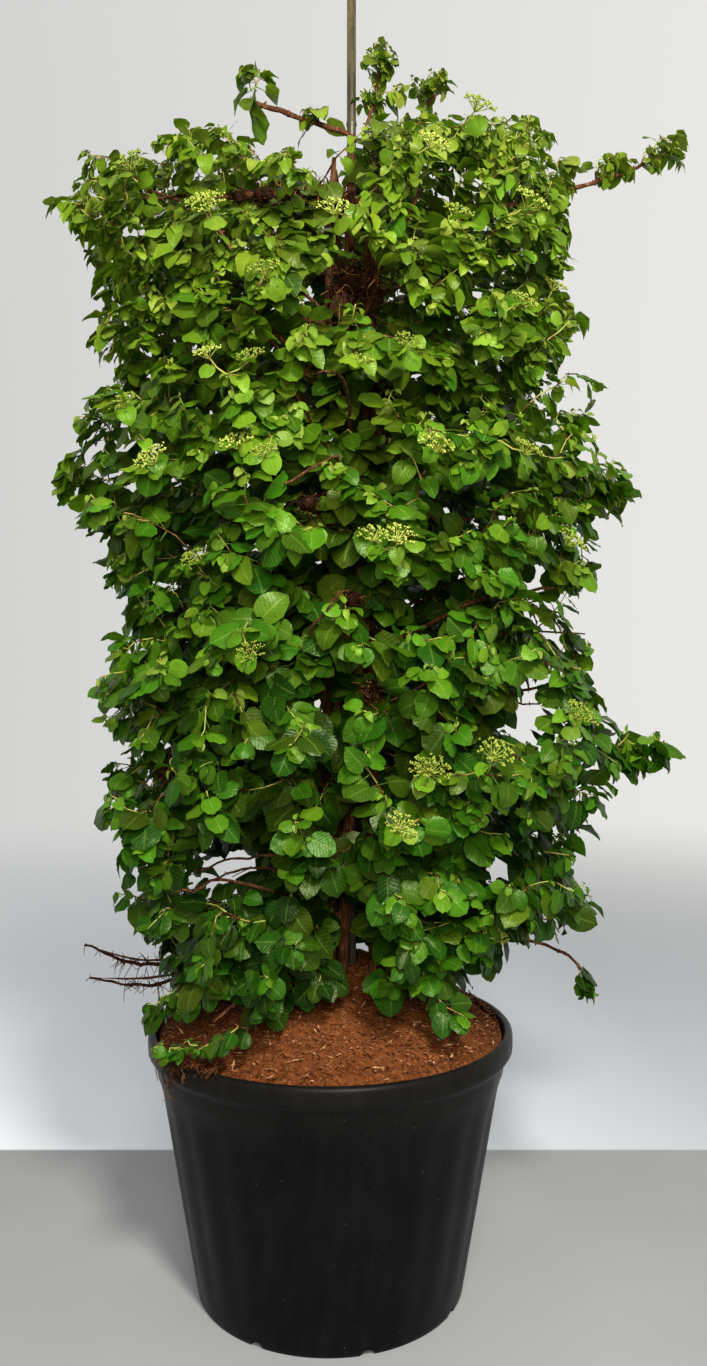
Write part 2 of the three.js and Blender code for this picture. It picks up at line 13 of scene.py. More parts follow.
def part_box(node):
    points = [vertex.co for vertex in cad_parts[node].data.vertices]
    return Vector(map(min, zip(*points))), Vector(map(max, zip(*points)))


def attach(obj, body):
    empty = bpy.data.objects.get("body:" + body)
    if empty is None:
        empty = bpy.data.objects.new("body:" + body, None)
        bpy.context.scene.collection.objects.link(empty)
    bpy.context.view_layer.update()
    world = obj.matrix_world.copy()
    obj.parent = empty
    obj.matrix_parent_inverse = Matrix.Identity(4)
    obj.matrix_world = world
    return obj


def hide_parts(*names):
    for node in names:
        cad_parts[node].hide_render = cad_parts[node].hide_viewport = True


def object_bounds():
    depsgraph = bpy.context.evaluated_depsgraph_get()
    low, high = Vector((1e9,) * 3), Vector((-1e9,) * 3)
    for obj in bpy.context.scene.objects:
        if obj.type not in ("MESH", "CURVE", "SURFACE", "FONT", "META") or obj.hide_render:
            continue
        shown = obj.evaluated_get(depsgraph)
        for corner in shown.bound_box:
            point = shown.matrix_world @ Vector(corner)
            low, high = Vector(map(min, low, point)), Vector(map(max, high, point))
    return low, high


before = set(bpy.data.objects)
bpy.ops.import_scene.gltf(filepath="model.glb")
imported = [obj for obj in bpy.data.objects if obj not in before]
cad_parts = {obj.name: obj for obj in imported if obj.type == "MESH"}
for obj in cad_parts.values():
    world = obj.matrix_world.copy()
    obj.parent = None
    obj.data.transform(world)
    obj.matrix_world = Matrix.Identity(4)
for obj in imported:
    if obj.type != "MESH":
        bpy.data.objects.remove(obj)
CAD_LOW, CAD_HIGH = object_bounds()
MM = 0.001

# The photo's view: its size in pixels, and where its optical axis meets it
IMAGE = (707, 1366)
FOCAL_PIXELS = 1120
AXIS_PIXEL_Y = 613.5
CAMERA_PLACE = (0.0397, -2.0, 1.06)
CAMERA_TILT = 0.0484
TILT_COS, TILT_SIN = math.cos(CAMERA_TILT), math.sin(CAMERA_TILT)

# Pot: radius and height of each step of its wall, from the middle of the base up and over the rim
POT_SEGMENTS = 144
POT_FLUTES = 24
FLUTE_DEPTH = 2.6 * MM
FLUTE_ROWS = (0.045, 0.338)
POT_BASE_RADIUS = 0.226
POT_OUTSIDE = [
    (0.2285, 0.004), (0.2295, 0.010), (0.2352, 0.040), (0.2385, 0.058), (0.2555, 0.150),
    (0.2725, 0.245), (0.2875, 0.328), (0.2905, 0.345), (0.2965, 0.366), (0.2995, 0.372),
    (0.3030, 0.392), (0.3060, 0.400), (0.3120, 0.4035), (0.3155, 0.4085), (0.3160, 0.4150),
    (0.3160, 0.4290), (0.3150, 0.4350), (0.3115, 0.4388), (0.3070, 0.4400), (0.3035, 0.4385),
    (0.3015, 0.4345),
]
POT_INSIDE = [(0.3005, 0.4260), (0.2985, 0.4150), (0.2240, 0.0060)]
DRAIN_NOTCHES = 8
DRAIN_TURN = 0.35
NOTCH_RADIUS = 0.012
NOTCH_LENGTH = 0.034

# Soil: a heaped mound of chopped bark and coir, sampled over a hand's width
SOIL_RINGS = 44
SOIL_SPOKES = 120
SOIL_CHIPS = 7000
SOIL_EDGE = 0.4265
SOIL_LOWEST = 0.4
SOIL_FOOT = 0.222
SOIL_FLOOR = 0.009
SOIL_SAMPLE = 0.028

# Cane, and its knuckles: how far apart they are, and the place and swelling of each one's rings in mm
CANE_AXIS = (0.036, 0.0)
CANE_RADIUS = 8.4 * MM
CANE_SIDES = 20
KNUCKLE_SPACING = 0.33
KNUCKLE = ((-9, 0), (-3, 0.5), (0, 1.5), (4, 0.9), (10, 0))

# Woody stems, and the dead twigs that each has inside the column: how far from the cane and how high they
# start
WOODY_STEMS = 5
DEAD_TWIGS = 46
DEAD_TWIG_REACH = 0.26
DEAD_TWIG_HEIGHTS = (0.66, 1.8)
DEAD_TWIG_STEPS = 6

# Foliage: twigs all over the column's side and top, and their leaves' length and freshness from the tip back
SIDE_TWIGS = 1380
INNER_TWIGS = 1090
UPPER_TWIGS = 300
TOP_TWIGS = 250
FAR_FROM_SPRAY = 0.19
LEAFY_LENGTH = 86 * MM
GREEN_LENGTH = 0.05
LEAF_LENGTHS = (12 * MM, 22 * MM, 31 * MM, 36 * MM, 38 * MM, 39 * MM)
LEAF_AGES = (1.0, 0.82, 0.6, 0.42, 0.3, 0.22)
PAIR_SPACING = 15 * MM

# Flower heads: the share of twigs that bear one, how high up they do, and the size of head and stalk
HEAD_SHARE = 0.06
HEADS_BELOW = 1.88
HEAD_RADIUS = 23 * MM
HEAD_STALK = 42 * MM

# The blade: heart-shaped base, broad below the middle, pointed tip: half its width at the grown leaf's rows
GROWN_ROWS = (0, 0.06, 0.2, 0.42, 0.64, 0.82, 0.92, 1.0)
BLADE_HALF_WIDTHS = (0.15, 0.36, 0.49, 0.51, 0.43, 0.27, 0.12, 0.006)
CROWN_LEAF_ROWS = (0, 0.07, 0.28, 0.58, 0.84, 1.0)
PLAIN_ROWS = (0, 0.16, 0.5, 0.8, 1.0)
LEAF_STALK = 0.4
STALK_UV = (0.5, 0.02)

# Grown, crown, young and shaded leaves: rows along the blade, then each shape's breadth, fold, droop, curl
# and wave, and its columns to each side
LEAF_KINDS = [
    (GROWN_ROWS, [
        (0.92, 0.12, 0.5, 0.35, 0.045, 2), (0.98, 0.06, 0.8, 0.5, 0.04, 2), (0.95, 0.2, 0.35, 0.6, 0.05, 1),
        (0.9, -0.1, 0.9, 0.8, 0.05, 1), (0.86, 0.34, 1.0, 0.1, 0.04, 1), (0.8, 0.5, 0.7, 0.0, 0.05, 1),
        (0.88, 0.2, 1.6, 0.2, 0.04, 1), (0.94, 0.1, 0.6, 0.3, 0.05, 1)]),
    (CROWN_LEAF_ROWS, [
        (0.66, 0.5, 1.3, 0.0, 0.05, 1), (0.74, 0.3, 1.8, 0.1, 0.04, 1), (0.6, 0.7, 0.9, 0.0, 0.05, 1),
        (0.78, 0.2, 1.1, 0.4, 0.05, 1)]),
    (PLAIN_ROWS, [(0.62, 0.6, 0.9, 0.0, 0.02, 1), (0.7, 0.4, 1.3, 0.1, 0.03, 1)]),
    (PLAIN_ROWS, [
        (0.95, 0.1, 0.5, 0.2, 0.03, 1), (0.9, 0.3, 0.9, 0.2, 0.03, 1), (0.98, 0.02, 1.1, 0.3, 0.03, 1)]),
]

# The column's outline: height, and reach to the left, to the right, and to the front and back
COLUMN = np.array([
    (0.47, 0.31, 0.27, 0.26), (0.56, 0.345, 0.29, 0.29), (0.65, 0.35, 0.46, 0.32),
    (0.74, 0.36, 0.43, 0.35), (0.83, 0.41, 0.455, 0.37), (0.91, 0.395, 0.54, 0.38),
    (1.00, 0.395, 0.51, 0.385), (1.07, 0.41, 0.465, 0.385), (1.15, 0.41, 0.425, 0.385),
    (1.22, 0.43, 0.49, 0.385), (1.29, 0.44, 0.47, 0.385), (1.38, 0.465, 0.52, 0.385),
    (1.45, 0.45, 0.475, 0.385), (1.54, 0.445, 0.455, 0.385), (1.63, 0.43, 0.445, 0.385),
    (1.73, 0.425, 0.485, 0.38), (1.84, 0.475, 0.475, 0.375), (1.91, 0.475, 0.455, 0.365),
    (1.97, 0.46, 0.45, 0.34), (2.05, 0.30, 0.41, 0.28),
])
COLUMN_SQUARENESS = 0.8
COLUMN_MIDDLE = (0.015, 0.0, 0.0)
COLUMN_TOP = 2.05

# The tiers that the column swells and sinks in: how often across and up, and how deep
TIERS_ACROSS = 5.5
TIERS_UP = 10.5
TIER_DEPTH = 0.105

# What changes with height, as heights and values: the leaves' size, freshness, warmth and lightness, the
# share of leaf pairs that have the crown's narrow blades, and how far the leaves spread. Leaves low down are
# less fresh and darker, partly for age and partly as painted shade, and their lightness is painted shade
SIZE_UP = (0.5, 1.1, 1.7, 2.1), (1.08, 1.14, 0.97, 0.75)
FRESHNESS_AND_SHADE_UP = (0.5, 1.2, 2.0), (-0.34, -0.07, 0.22)
WARMTH_UP = (0.6, 1.3, 2.0), (0.0, 0.26, 0.9)
PAINTED_SHADE_UP = (0.5, 0.9, 1.7, 2.0), (0.42, 0.6, 0.6, 0.48)
CROWN_SHARE_UP = (1.45, 1.95), (0.05, 0.95)
SPREAD_UP = (0.9, 2.0), (0.0, 1.0)

# Upper edge of the foliage, and lower edge of its curtains over the soil, as columns and rows of the photo
CROWN_COLUMNS = (40, 61, 107, 143, 189, 236, 264, 286, 307, 336, 352, 372, 400, 430, 464, 529, 550, 571, 600)
CROWN_ROWS = (230, 187, 161, 139, 114, 125, 129, 136, 150, 154, 140, 110, 115, 115, 107, 107, 132, 221, 400)
HEM_COLUMNS = (120, 150, 320, 327, 384, 390, 440, 458, 482, 488, 640)
HEM_ROWS = (990, 1036, 1034, 925, 925, 1010, 1022, 1046, 1044, 952, 940)

# How many rows of the photo twigs stay inside those edges, how far back that counts, and where and how far
# they stay over the soil
CROWN_MARGIN = 7
HEM_MARGIN = 24
FRONT_ENDS = 0.04
POT_REACH = 0.3
OVER_SOIL = 0.035

# Where the crown's fine tiers begin, the curtains of leaves that hang lowest over the soil, and the shaded
# leaves that close the column behind its cane, each with its number of twigs
UPPER_TIERS = 1.6
LOW_CURTAINS = [
    ((-0.255, -0.15, 0.49), 12), ((-0.13, -0.2, 0.5), 8), ((0.18, -0.2, 0.49), 8), ((0.2, -0.21, 0.478), 7),
]
DARK_HEARTS = [
    ((0.01, 0.14, 1.84), 9), ((-0.02, 0.14, 1.74), 9), ((0.03, 0.16, 1.66), 7), ((-0.04, 0.12, 1.22), 7),
]

# Flower heads that show at the front: side and height
FRONT_HEADS = [
    (-0.190, 1.533), (-0.099, 1.517), (0.119, 1.528), (0.049, 1.487), (-0.259, 1.364), (-0.151, 1.339),
    (-0.092, 1.367), (0.042, 1.265), (0.104, 1.247), (0.331, 1.363), (-0.214, 1.246), (-0.109, 1.078),
    (0.246, 0.940), (0.067, 0.816), (0.161, 1.369), (-0.038, 1.741), (0.290, 1.598), (0.113, 0.929),
    (0.182, 1.741), (-0.202, 1.781), (-0.089, 1.638), (0.149, 0.921), (-0.176, 1.747), (0.156, 1.83),
    (-0.28, 1.86), (0.235, 1.905), (0.385, 1.02), (0.36, 1.21), (-0.3, 1.45), (0.3, 1.75),
]

# Tangles of dead roots: column, row and depth in the photo's view, half size, and how many fibres
ROOT_TANGLES = [
    ((357, 281, -0.17), (0.046, 0.03, 0.032), 300),
    ((337, 635, -0.25), (0.018, 0.016, 0.016), 60),
    ((352, 600, -0.25), (0.016, 0.016, 0.015), 60),
    ((310, 505, -0.27), (0.022, 0.016, 0.016), 60),
    ((372, 690, -0.25), (0.018, 0.016, 0.018), 60),
    ((165, 770, -0.16), (0.024, 0.016, 0.024), 60),
]
DEAD_BRANCH = [(345, 200, -0.13), (300, 194, -0.17), (240, 196, -0.18)]

# Bare branches: radius in mm, then column, row and depth in the photo's view along each
FRONT_BRANCHES = [
    (2.6, [(300, 860, -0.14), (240, 858, -0.12), (196, 872, -0.12)]),
    (2.2, [(300, 880, -0.1), (250, 868, -0.08), (206, 884, -0.08)]),
    (3.4, [(290, 212, -0.14), (200, 197, -0.16), (128, 199, -0.14)]),
    (3.0, [(300, 290, -0.1), (180, 262, -0.1), (84, 251, -0.08)]),
    (4.0, [(262, 320, -0.16), (240, 264, -0.22), (205, 206, -0.21)]),
    (3.6, [(372, 290, -0.16), (396, 238, -0.23), (421, 188, -0.23)]),
    (2.6, [(262, 330, -0.24), (265, 300, -0.29)]),
    (2.6, [(300, 400, -0.28), (301, 376, -0.3), (318, 360, -0.31)]),
    (2.4, [(340, 470, -0.26), (332, 458, -0.31), (284, 484, -0.33)]),
    (2.4, [(345, 385, -0.24), (318, 372, -0.3), (285, 384, -0.33)]),
    (2.6, [(312, 640, -0.27), (326, 612, -0.33), (340, 590, -0.34)]),
    (2.6, [(480, 600, -0.2), (540, 590, -0.16), (590, 575, -0.12)]),
    (2.8, [(440, 775, -0.27), (500, 785, -0.26), (560, 796, -0.22)]),
    (2.4, [(480, 700, -0.22), (530, 690, -0.2), (575, 672, -0.15)]),
    (2.4, [(230, 880, -0.2), (200, 888, -0.22), (175, 892, -0.22)]),
    (1.9, [(470, 606, -0.1), (520, 604, -0.12), (572, 586, -0.1)]),
    (1.8, [(480, 640, -0.12), (530, 632, -0.14), (585, 634, -0.1)]),
    (1.9, [(470, 664, -0.12), (520, 668, -0.14), (570, 660, -0.1)]),
    (1.8, [(480, 700, -0.1), (530, 704, -0.12), (576, 696, -0.1)]),
    (1.8, [(480, 570, -0.12), (525, 566, -0.12), (565, 556, -0.08)]),
]

# Shoots that stick out of the column: radius at both ends of the stem and points along it, in mm
SHOOT_STEMS = {
    "top_left_shoot": ((5.0, 4.4), [(131, -58, 1916), (60, -66, 1985), (-45, -64, 2028), (-150, -62, 2064)]),
    "long_right_shoot": (
        (4.9, 3.0), [(200, 3, 1862), (345, 0, 1905), (450, 0, 1934), (540, 0, 1964), (592, -6, 1984)]),
    "arching_right_shoot": (
        (3.2, 2.0), [(210, -30, 588), (325, 0, 584), (410, 0, 558), (446, 0, 520), (457, -2, 486)]),
    "top_shoot": ((3.6, 2.2), [(60, -30, 1990), (66, -30, 2040), (80, -14, 2100), (86, -12, 2155)]),
    "top_right_shoot": ((3.2, 2.0), [(120, -14, 2000), (150, -12, 2040), (188, -14, 2100)]),
}

# Leafy ends of the shoots: centre and half sizes in mm, and how many twigs
SHOOT_TIPS = {
    "top_shoot": [((92, -16, 2170), (46, 36, 32), 12), ((86, -22, 2098), (50, 36, 34), 9)],
    "top_right_shoot": [((176, -16, 2132), (44, 34, 26), 10), ((150, -20, 2060), (46, 32, 24), 6)],
    "top_left_shoot": [((-146, -64, 2124), (18, 12, 8), 4), ((-32, -66, 2046), (16, 12, 5), 3)],
    "upper_left_shoot": [((-405, -44, 1955), (52, 36, 30), 11)],
    "long_right_shoot": [((606, -8, 2010), (40, 32, 16), 9), ((490, -4, 1984), (112, 14, 10), 12),
                         ((360, -6, 1936), (70, 24, 22), 8)],
    "middle_right_shoot": [((480, -44, 1380), (50, 36, 36), 10)],
    "middle_left_shoot": [((-432, -44, 1384), (46, 36, 36), 10)],
    "low_right_shoot": [((545, -28, 925), (60, 36, 40), 11)],
    "arching_right_shoot": [((452, -2, 500), (14, 12, 34), 6)],
    "rim_shoot": [((-212, -258, 480), (58, 16, 12), 11)],
}

# How large a shoot's leaves are against the column's, and how much fresher
SHOOT_LEAF_SIZE = 1.2
SHOOT_LEAF_SIZES = {
    "arching_right_shoot": 0.72, "rim_shoot": 0.62, "top_left_shoot": 1.6, "long_right_shoot": 1.4,
}
SHOOT_FRESHNESS = 0.06

# Openings in the foliage, as boxes of the photo's columns and rows, and the depth they go in to
OPENINGS = [
    ((330, 250, 388, 294), -0.14), ((228, 174, 352, 208), -0.16), ((180, 834, 262, 892), 1.0),
    ((518, 554, 560, 598), 1.0), ((512, 668, 562, 738), 1.0), ((538, 624, 576, 652), 1.0),
    ((262, 446, 318, 500), -0.28), ((286, 352, 326, 392), -0.28),
]

# Bare roots that hang out low on the left, as points in mm, and dried root ends over the rim: how many, and
# where round the pot
HANGING_ROOTS = [
    [(-150, -30, 588), (-319, -10, 540), (-434, 0, 572)],
    [(-150, -30, 588), (-301, -14, 508), (-424, 0, 515)],
]
RIM_ROOTS = 24
RIM_ROOT_TURNS = (-2.37, -2.37, -2.37, -2.22, -2.55)

rng = np.random.default_rng(41)


# Small tools for vectors and meshes

def unit(v):
    v = np.asarray(v, float)
    return v / np.maximum(np.linalg.norm(v, axis=-1, keepdims=True), 1e-9)


def outward(p):
    """The way out of the column at a point."""
    way = np.asarray(p, float) - COLUMN_MIDDLE
    way[..., 2] = 0
    return unit(way)


def at_turn(turn, radius, height):
    """The place at an angle round the pot's axis."""
    return np.array([math.cos(turn) * radius, math.sin(turn) * radius, height])


def smooth_path(points, steps):
    """A path that runs smoothly through some points."""
    points = np.asarray(points, float)
    ahead = np.concatenate([[2 * points[0] - points[1]], points, [2 * points[-1] - points[-2]]])
    path = []
    for i in range(len(points) - 1):
        a, b, c, d = ahead[i:i + 4]
        for t in np.linspace(0, 1, steps, endpoint=False):
            square, cube = (2 * a - 5 * b + 4 * c - d) * t * t, (3 * b - a - 3 * c + d) * t ** 3
            path.append(0.5 * (2 * b + (c - a) * t + square + cube))
    return np.array(path + [points[-1]])


def at_photo(column, row, depth):
    """The place at a depth that shows at a column and row of the photo."""
    x, up = (column - IMAGE[0] / 2) / FOCAL_PIXELS, (AXIS_PIXEL_Y - row) / FOCAL_PIXELS
    way = np.array([x, TILT_COS - up * TILT_SIN, TILT_SIN + up * TILT_COS])
    return np.array(CAMERA_PLACE) + way * (depth - CAMERA_PLACE[1]) / way[1]


def photo_place(p):
    """Column and row of the photo at which a place shows."""
    away = np.asarray(p, float) - CAMERA_PLACE
    depth = away[..., 1] * TILT_COS + away[..., 2] * TILT_SIN
    up = away[..., 2] * TILT_COS - away[..., 1] * TILT_SIN
    return IMAGE[0] / 2 + FOCAL_PIXELS * away[..., 0] / depth, AXIS_PIXEL_Y - FOCAL_PIXELS * up / depth


def link(obj):
    """Puts an object into the scene."""
    bpy.context.scene.collection.objects.link(obj)
    return obj


def pick_only(obj):
    """Makes an object the active one, and the only one picked."""
    bpy.ops.object.select_all(action="DESELECT")
    obj.select_set(True)
    bpy.context.view_layer.objects.active = obj


def solid_points(node):
    return np.array([v.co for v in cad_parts[node].data.vertices])


def from_cane(points):
    return np.hypot(points[:, 0] - CANE_AXIS[0], points[:, 1] - CANE_AXIS[1])


def band(first, sides):
    """The corners of the faces between two rings of points, of which the first starts at this number."""
    ring = first + np.arange(sides)
    after = first + (np.arange(sides) + 1) % sides
    return np.stack([ring, after, after + sides, ring + sides], 1).ravel()


class Pile:
    """Points and faces of many small shapes, gathered to be one piece."""

    def __init__(self):
        self.points, self.corners, self.sizes, self.finish, self.uv, self.tone = [], [], [], [], [], []
        self.count = 0

    def add(self, points, corners, sizes, finish, uv=None, tone=(0.5, 0.5, 0.5)):
        self.points.append(points)
        self.corners.append(corners + self.count)
        self.sizes.append(sizes)
        self.finish.append(np.full(len(sizes), finish))
        self.uv.append(np.zeros((len(corners), 2)) if uv is None else uv)
        self.tone.append(np.broadcast_to(np.asarray(tone, float), (len(points), 3)))
        self.count += len(points)

    def stamp(self, shape, places, finish, tones):
        """A copy of a shape at each place, a 3x4 matrix, with its own tone."""
        if not len(places):
            return
        points, corners, sizes, uv = shape
        copies, each = len(places), len(points)
        spots = np.einsum("nij,vj->nvi", places[:, :, :3], points) + places[:, None, :, 3]
        shift = np.repeat(np.arange(copies) * each, len(corners))
        self.add(spots.reshape(-1, 3), np.tile(corners, copies) + shift, np.tile(sizes, copies), finish,
                 np.tile(uv, (copies, 1)), np.repeat(tones, each, axis=0))

    def tube(self, path, radii, sides, finish, tone=(0.5, 0.5, 0.5)):
        """A closed rod along a path of points."""
        path = np.asarray(path, float)
        ways = unit(np.gradient(path, axis=0))
        side = unit(np.cross(ways[0], [0.31, 0.17, 0.93]))
        rings = []
        for point, way, radius in zip(path, ways, radii):
            side = unit(side - way * np.dot(side, way))
            across = np.cross(way, side)
            turn = np.arange(sides) * 2 * np.pi / sides
            rings.append(point + radius * (np.outer(np.cos(turn), side) + np.outer(np.sin(turn), across)))
        ends = [np.arange(sides)[::-1], (len(path) - 1) * sides + np.arange(sides)]
        corners = np.concatenate([band(k * sides, sides) for k in range(len(path) - 1)] + ends)
        sizes = np.array([4] * (sides * (len(path) - 1)) + [sides, sides])
        self.add(np.concatenate(rings), corners, sizes, finish, None, tone)

    def piece(self, name, finishes, smooth=True):
        mesh = bpy.data.meshes.new(name)
        points, corners = np.concatenate(self.points), np.concatenate(self.corners)
        sizes = np.concatenate(self.sizes)
        mesh.vertices.add(len(points))
        mesh.vertices.foreach_set("co", points.astype(np.float32).ravel())
        mesh.loops.add(len(corners))
        mesh.loops.foreach_set("vertex_index", corners.astype(np.int32))
        mesh.polygons.add(len(sizes))
        for setting, values in (("loop_start", np.cumsum(sizes) - sizes), ("loop_total", sizes),
                                ("material_index", np.concatenate(self.finish))):
            mesh.polygons.foreach_set(setting, values.astype(np.int32))
        mesh.polygons.foreach_set("use_smooth", np.full(len(sizes), smooth))
        blade = mesh.uv_layers.new(name="blade")
        blade.data.foreach_set("uv", np.concatenate(self.uv).astype(np.float32).ravel())
        tone = mesh.attributes.new("tone", "FLOAT_VECTOR", "POINT")
        tone.data.foreach_set("vector", np.concatenate(self.tone).astype(np.float32).ravel())
        mesh.update(calc_edges=True)
        mesh.validate()
        for finish in finishes:
            mesh.materials.append(finish)
        return link(bpy.data.objects.new(name, mesh))


def settle(obj, slot, *nodes):
    """The piece rides on the plant and stands for its solids. The slot is not used."""
    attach(obj, "root")
    if nodes:
        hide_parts(*nodes)


def merged_copy(node, name):
    """A copy of a solid's mesh with its corners joined."""
    obj = link(bpy.data.objects.new(name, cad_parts[node].data.copy()))
    obj.data.materials.clear()
    pick_only(obj)
    bpy.ops.object.mode_set(mode="EDIT")
    bpy.ops.mesh.select_all(action="SELECT")
    bpy.ops.mesh.remove_doubles(threshold=0.02 * MM)
    bpy.ops.object.mode_set(mode="OBJECT")
    return obj


def apply_modifiers(obj):
    pick_only(obj)
    for modifier in list(obj.modifiers):
        bpy.ops.object.modifier_apply(modifier=modifier.name)


# Materials

def srgb(code):
    """A hex colour as linear RGBA."""
    parts = [int(code[i:i + 2], 16) / 255 for i in (1, 3, 5)]
    return [c / 12.92 if c <= 0.04045 else ((c + 0.055) / 1.055) ** 2.4 for c in parts] + [1.0]


def add_node(tree, kind, sockets=(), stops=(), **settings):
    """A node with its settings, sockets that are linked or set, and a ramp's stops: gives its outputs.

    Hex codes are colours. A colour mix takes a share and two colours at 0, 6 and 7, and gives one at 2.
    """
    made = tree.nodes.new("ShaderNode" + kind)
    for name, value in settings.items():
        setattr(made, name, value)
    for key, value in sockets.items() if isinstance(sockets, dict) else enumerate(sockets):
        if isinstance(value, bpy.types.NodeSocket):
            tree.links.new(value, made.inputs[key])
        else:
            made.inputs[key].default_value = srgb(value) if isinstance(value, str) else value
    for k, (place, code) in enumerate(stops):
        stop = made.color_ramp.elements[k] if k < 2 else made.color_ramp.elements.new(place)
        stop.position, stop.color = place, srgb(code)
    return made.outputs


def finish(surface):
    """A material that is named for a surface function, which adds its nodes and gives its shader."""
    material = bpy.data.materials.new(surface.__name__)
    material.use_nodes = True
    material.node_tree.nodes.clear()
    add = partial(add_node, material.node_tree)
    add("OutputMaterial", {"Surface": surface(add)})
    return material


def laid_over(add, under, over, share, most):
    """A colour over another, which it covers by a share of the most that it may."""
    cover = add("Math", (share, most), operation="MULTIPLY")[0]
    return add("Mix", {0: cover, 6: under, 7: over}, data_type="RGBA")[2]


def hydrangea_leaf(add):
    """Living leaf blade: a waxy green skin with impressed veins, and light shines a little through it."""
    age, hue, lightness_and_shade = add("SeparateXYZ", (add("Attribute", attribute_name="tone")["Vector"],))
    across, along, _ = add("SeparateXYZ", (add("UVMap", uv_map="blade")["UV"],))
    beside = add("Math", (across, 0.5), operation="SUBTRACT")[0]
    off_midrib = add("Math", (beside,), operation="ABSOLUTE")[0]
    midrib = add("MapRange", (off_midrib, 0.0, 0.05, 1.0, 0.0))[0]
    # Side veins leave the midrib every 6 mm and run on towards the tip
    vein_phase = add("Math", (off_midrib, -0.62, along), operation="MULTIPLY_ADD")[0]
    vein_turn = add("Math", (vein_phase, 7.5 * math.pi), operation="MULTIPLY")[0]
    vein_wave = add("Math", (vein_turn,), operation="SINE")[0]
    swing = add("Math", (vein_wave,), operation="ABSOLUTE")[0]
    groove = add("Math", (swing, 0.55), operation="POWER")[0]
    grown = add("ValToRGB", (age,), [
        (0.0, "#0b2904"), (0.3, "#184506"), (0.62, "#336409"), (0.85, "#597f19"), (1.0, "#778a34"),
    ])[0]
    warm = laid_over(add, grown, "#747b18", hue, 0.5)
    vein = add("Math", (1.0, groove), operation="SUBTRACT")[0]
    ribbed = laid_over(add, laid_over(add, warm, "#6d8c2c", vein, 0.15), "#7f9c3e", midrib, 0.27)
    coords = add("TexCoord")["Object"]
    mottle = add("TexNoise", {"Vector": coords, "Scale": 90.0, "Detail": 2.0})["Fac"]
    mottled = add("Math", (mottle, 0.6, 0.25), operation="MULTIPLY_ADD")[0]
    # Painted shade: each leaf's lightness, darkest low down, dims its colour together with the mottle
    dim = add("Math", (lightness_and_shade, 0.8, mottled), operation="MULTIPLY_ADD")[0]
    grey = add("CombineColor", (dim, dim, dim))[0]
    colour = add("Mix", {0: 1.0, 6: ribbed, 7: grey}, data_type="RGBA", blend_type="MULTIPLY")[2]
    puckers = add("TexNoise", {"Vector": coords, "Scale": 130.0, "Detail": 2.0})["Fac"]
    relief = add("Math", (groove, 0.16, puckers), operation="MULTIPLY_ADD")[0]
    bump = add("Bump", {"Height": relief, "Strength": 0.55, "Distance": 2.0 * MM})[0]
    skin = add("BsdfPrincipled", {
        "Base Color": colour, "Roughness": 0.37, "IOR": 1.45, "Normal": bump,
        "Specular IOR Level": 0.38, "Specular Tint": "#eaffbc",
    })[0]
    glow = add("Mix", {0: 0.5, 6: colour, 7: "#528505"}, data_type="RGBA")[2]
    through = add("BsdfTranslucent", {"Color": glow})[0]
    return add("MixShader", (0.31, skin, through))[0]


def green_shoot_skin(add):
    """Young shoot: smooth green skin that reddens with age."""
    coords = add("TexCoord")["Object"]
    patches = add("TexNoise", {"Vector": coords, "Scale": 35.0, "Detail": 3.0})["Fac"]
    colour = add("ValToRGB", (patches,), [(0.35, "#8aa03a"), (0.55, "#95823a"), (0.7, "#7d5530")])[0]
    return add("BsdfPrincipled", {"Base Color": colour, "Roughness": 0.5})[0]


def peeling_bark(add):
    """Old stem: thin peeling bark in long strips, reddish brown with grey edges."""
    coords = add("TexCoord")["Object"]
    long_way = add("Mapping", {"Vector": coords, "Scale": (1.0, 1.0, 0.16)})[0]
    strips = add("TexNoise", {"Vector": long_way, "Scale": 240.0, "Detail": 5.0})["Fac"]
    patches = add("TexNoise", {"Vector": coords, "Scale": 22.0, "Detail": 3.0})["Fac"]
    wood = add("ValToRGB", (strips,), [
        (0.3, "#22120a"), (0.48, "#4a2a15"), (0.62, "#694424"), (0.75, "#8c6e45"),
    ])[0]
    bump = add("Bump", {"Height": strips, "Strength": 0.8, "Distance": 1.2 * MM})[0]
    return add("BsdfPrincipled", {
        "Base Color": laid_over(add, wood, "#33190d", patches, 0.6), "Roughness": 0.82,
        "Specular IOR Level": 0.2, "Normal": bump,
    })[0]


def dry_root_fibre(add):
    """Old clinging roots: dry dark brown threads."""
    age = add("SeparateXYZ", (add("Attribute", attribute_name="tone")["Vector"],))[0]
    colour = add("ValToRGB", (age,), [
        (0.0, "#1e0f08"), (0.4, "#341c0f"), (0.8, "#6b421f"), (1.0, "#946a35"),
    ])[0]
    return add("BsdfPrincipled", {"Base Color": colour, "Roughness": 0.9, "Specular IOR Level": 0.1})[0]


def corymb_buds(add):
    """Flower buds and their stalks: pale waxy yellow-green."""
    age = add("SeparateXYZ", (add("Attribute", attribute_name="tone")["Vector"],))[0]
    grain = add("TexNoise", {"Vector": add("TexCoord")["Object"], "Scale": 300.0, "Detail": 2.0})["Fac"]
    aged = add("Math", (age, 0.5, -0.1), operation="MULTIPLY_ADD")[0]
    mixed = add("Math", (grain, 0.7, aged), operation="MULTIPLY_ADD")[0]
    colour = add("ValToRGB", (mixed,), [(0.1, "#5a6a14"), (0.45, "#7c8a26"), (0.8, "#a3a948")])[0]
    return add("BsdfPrincipled", {
        "Base Color": colour, "Roughness": 0.55, "Subsurface Weight": 0.1, "Subsurface Scale": 1.5 * MM,
    })[0]


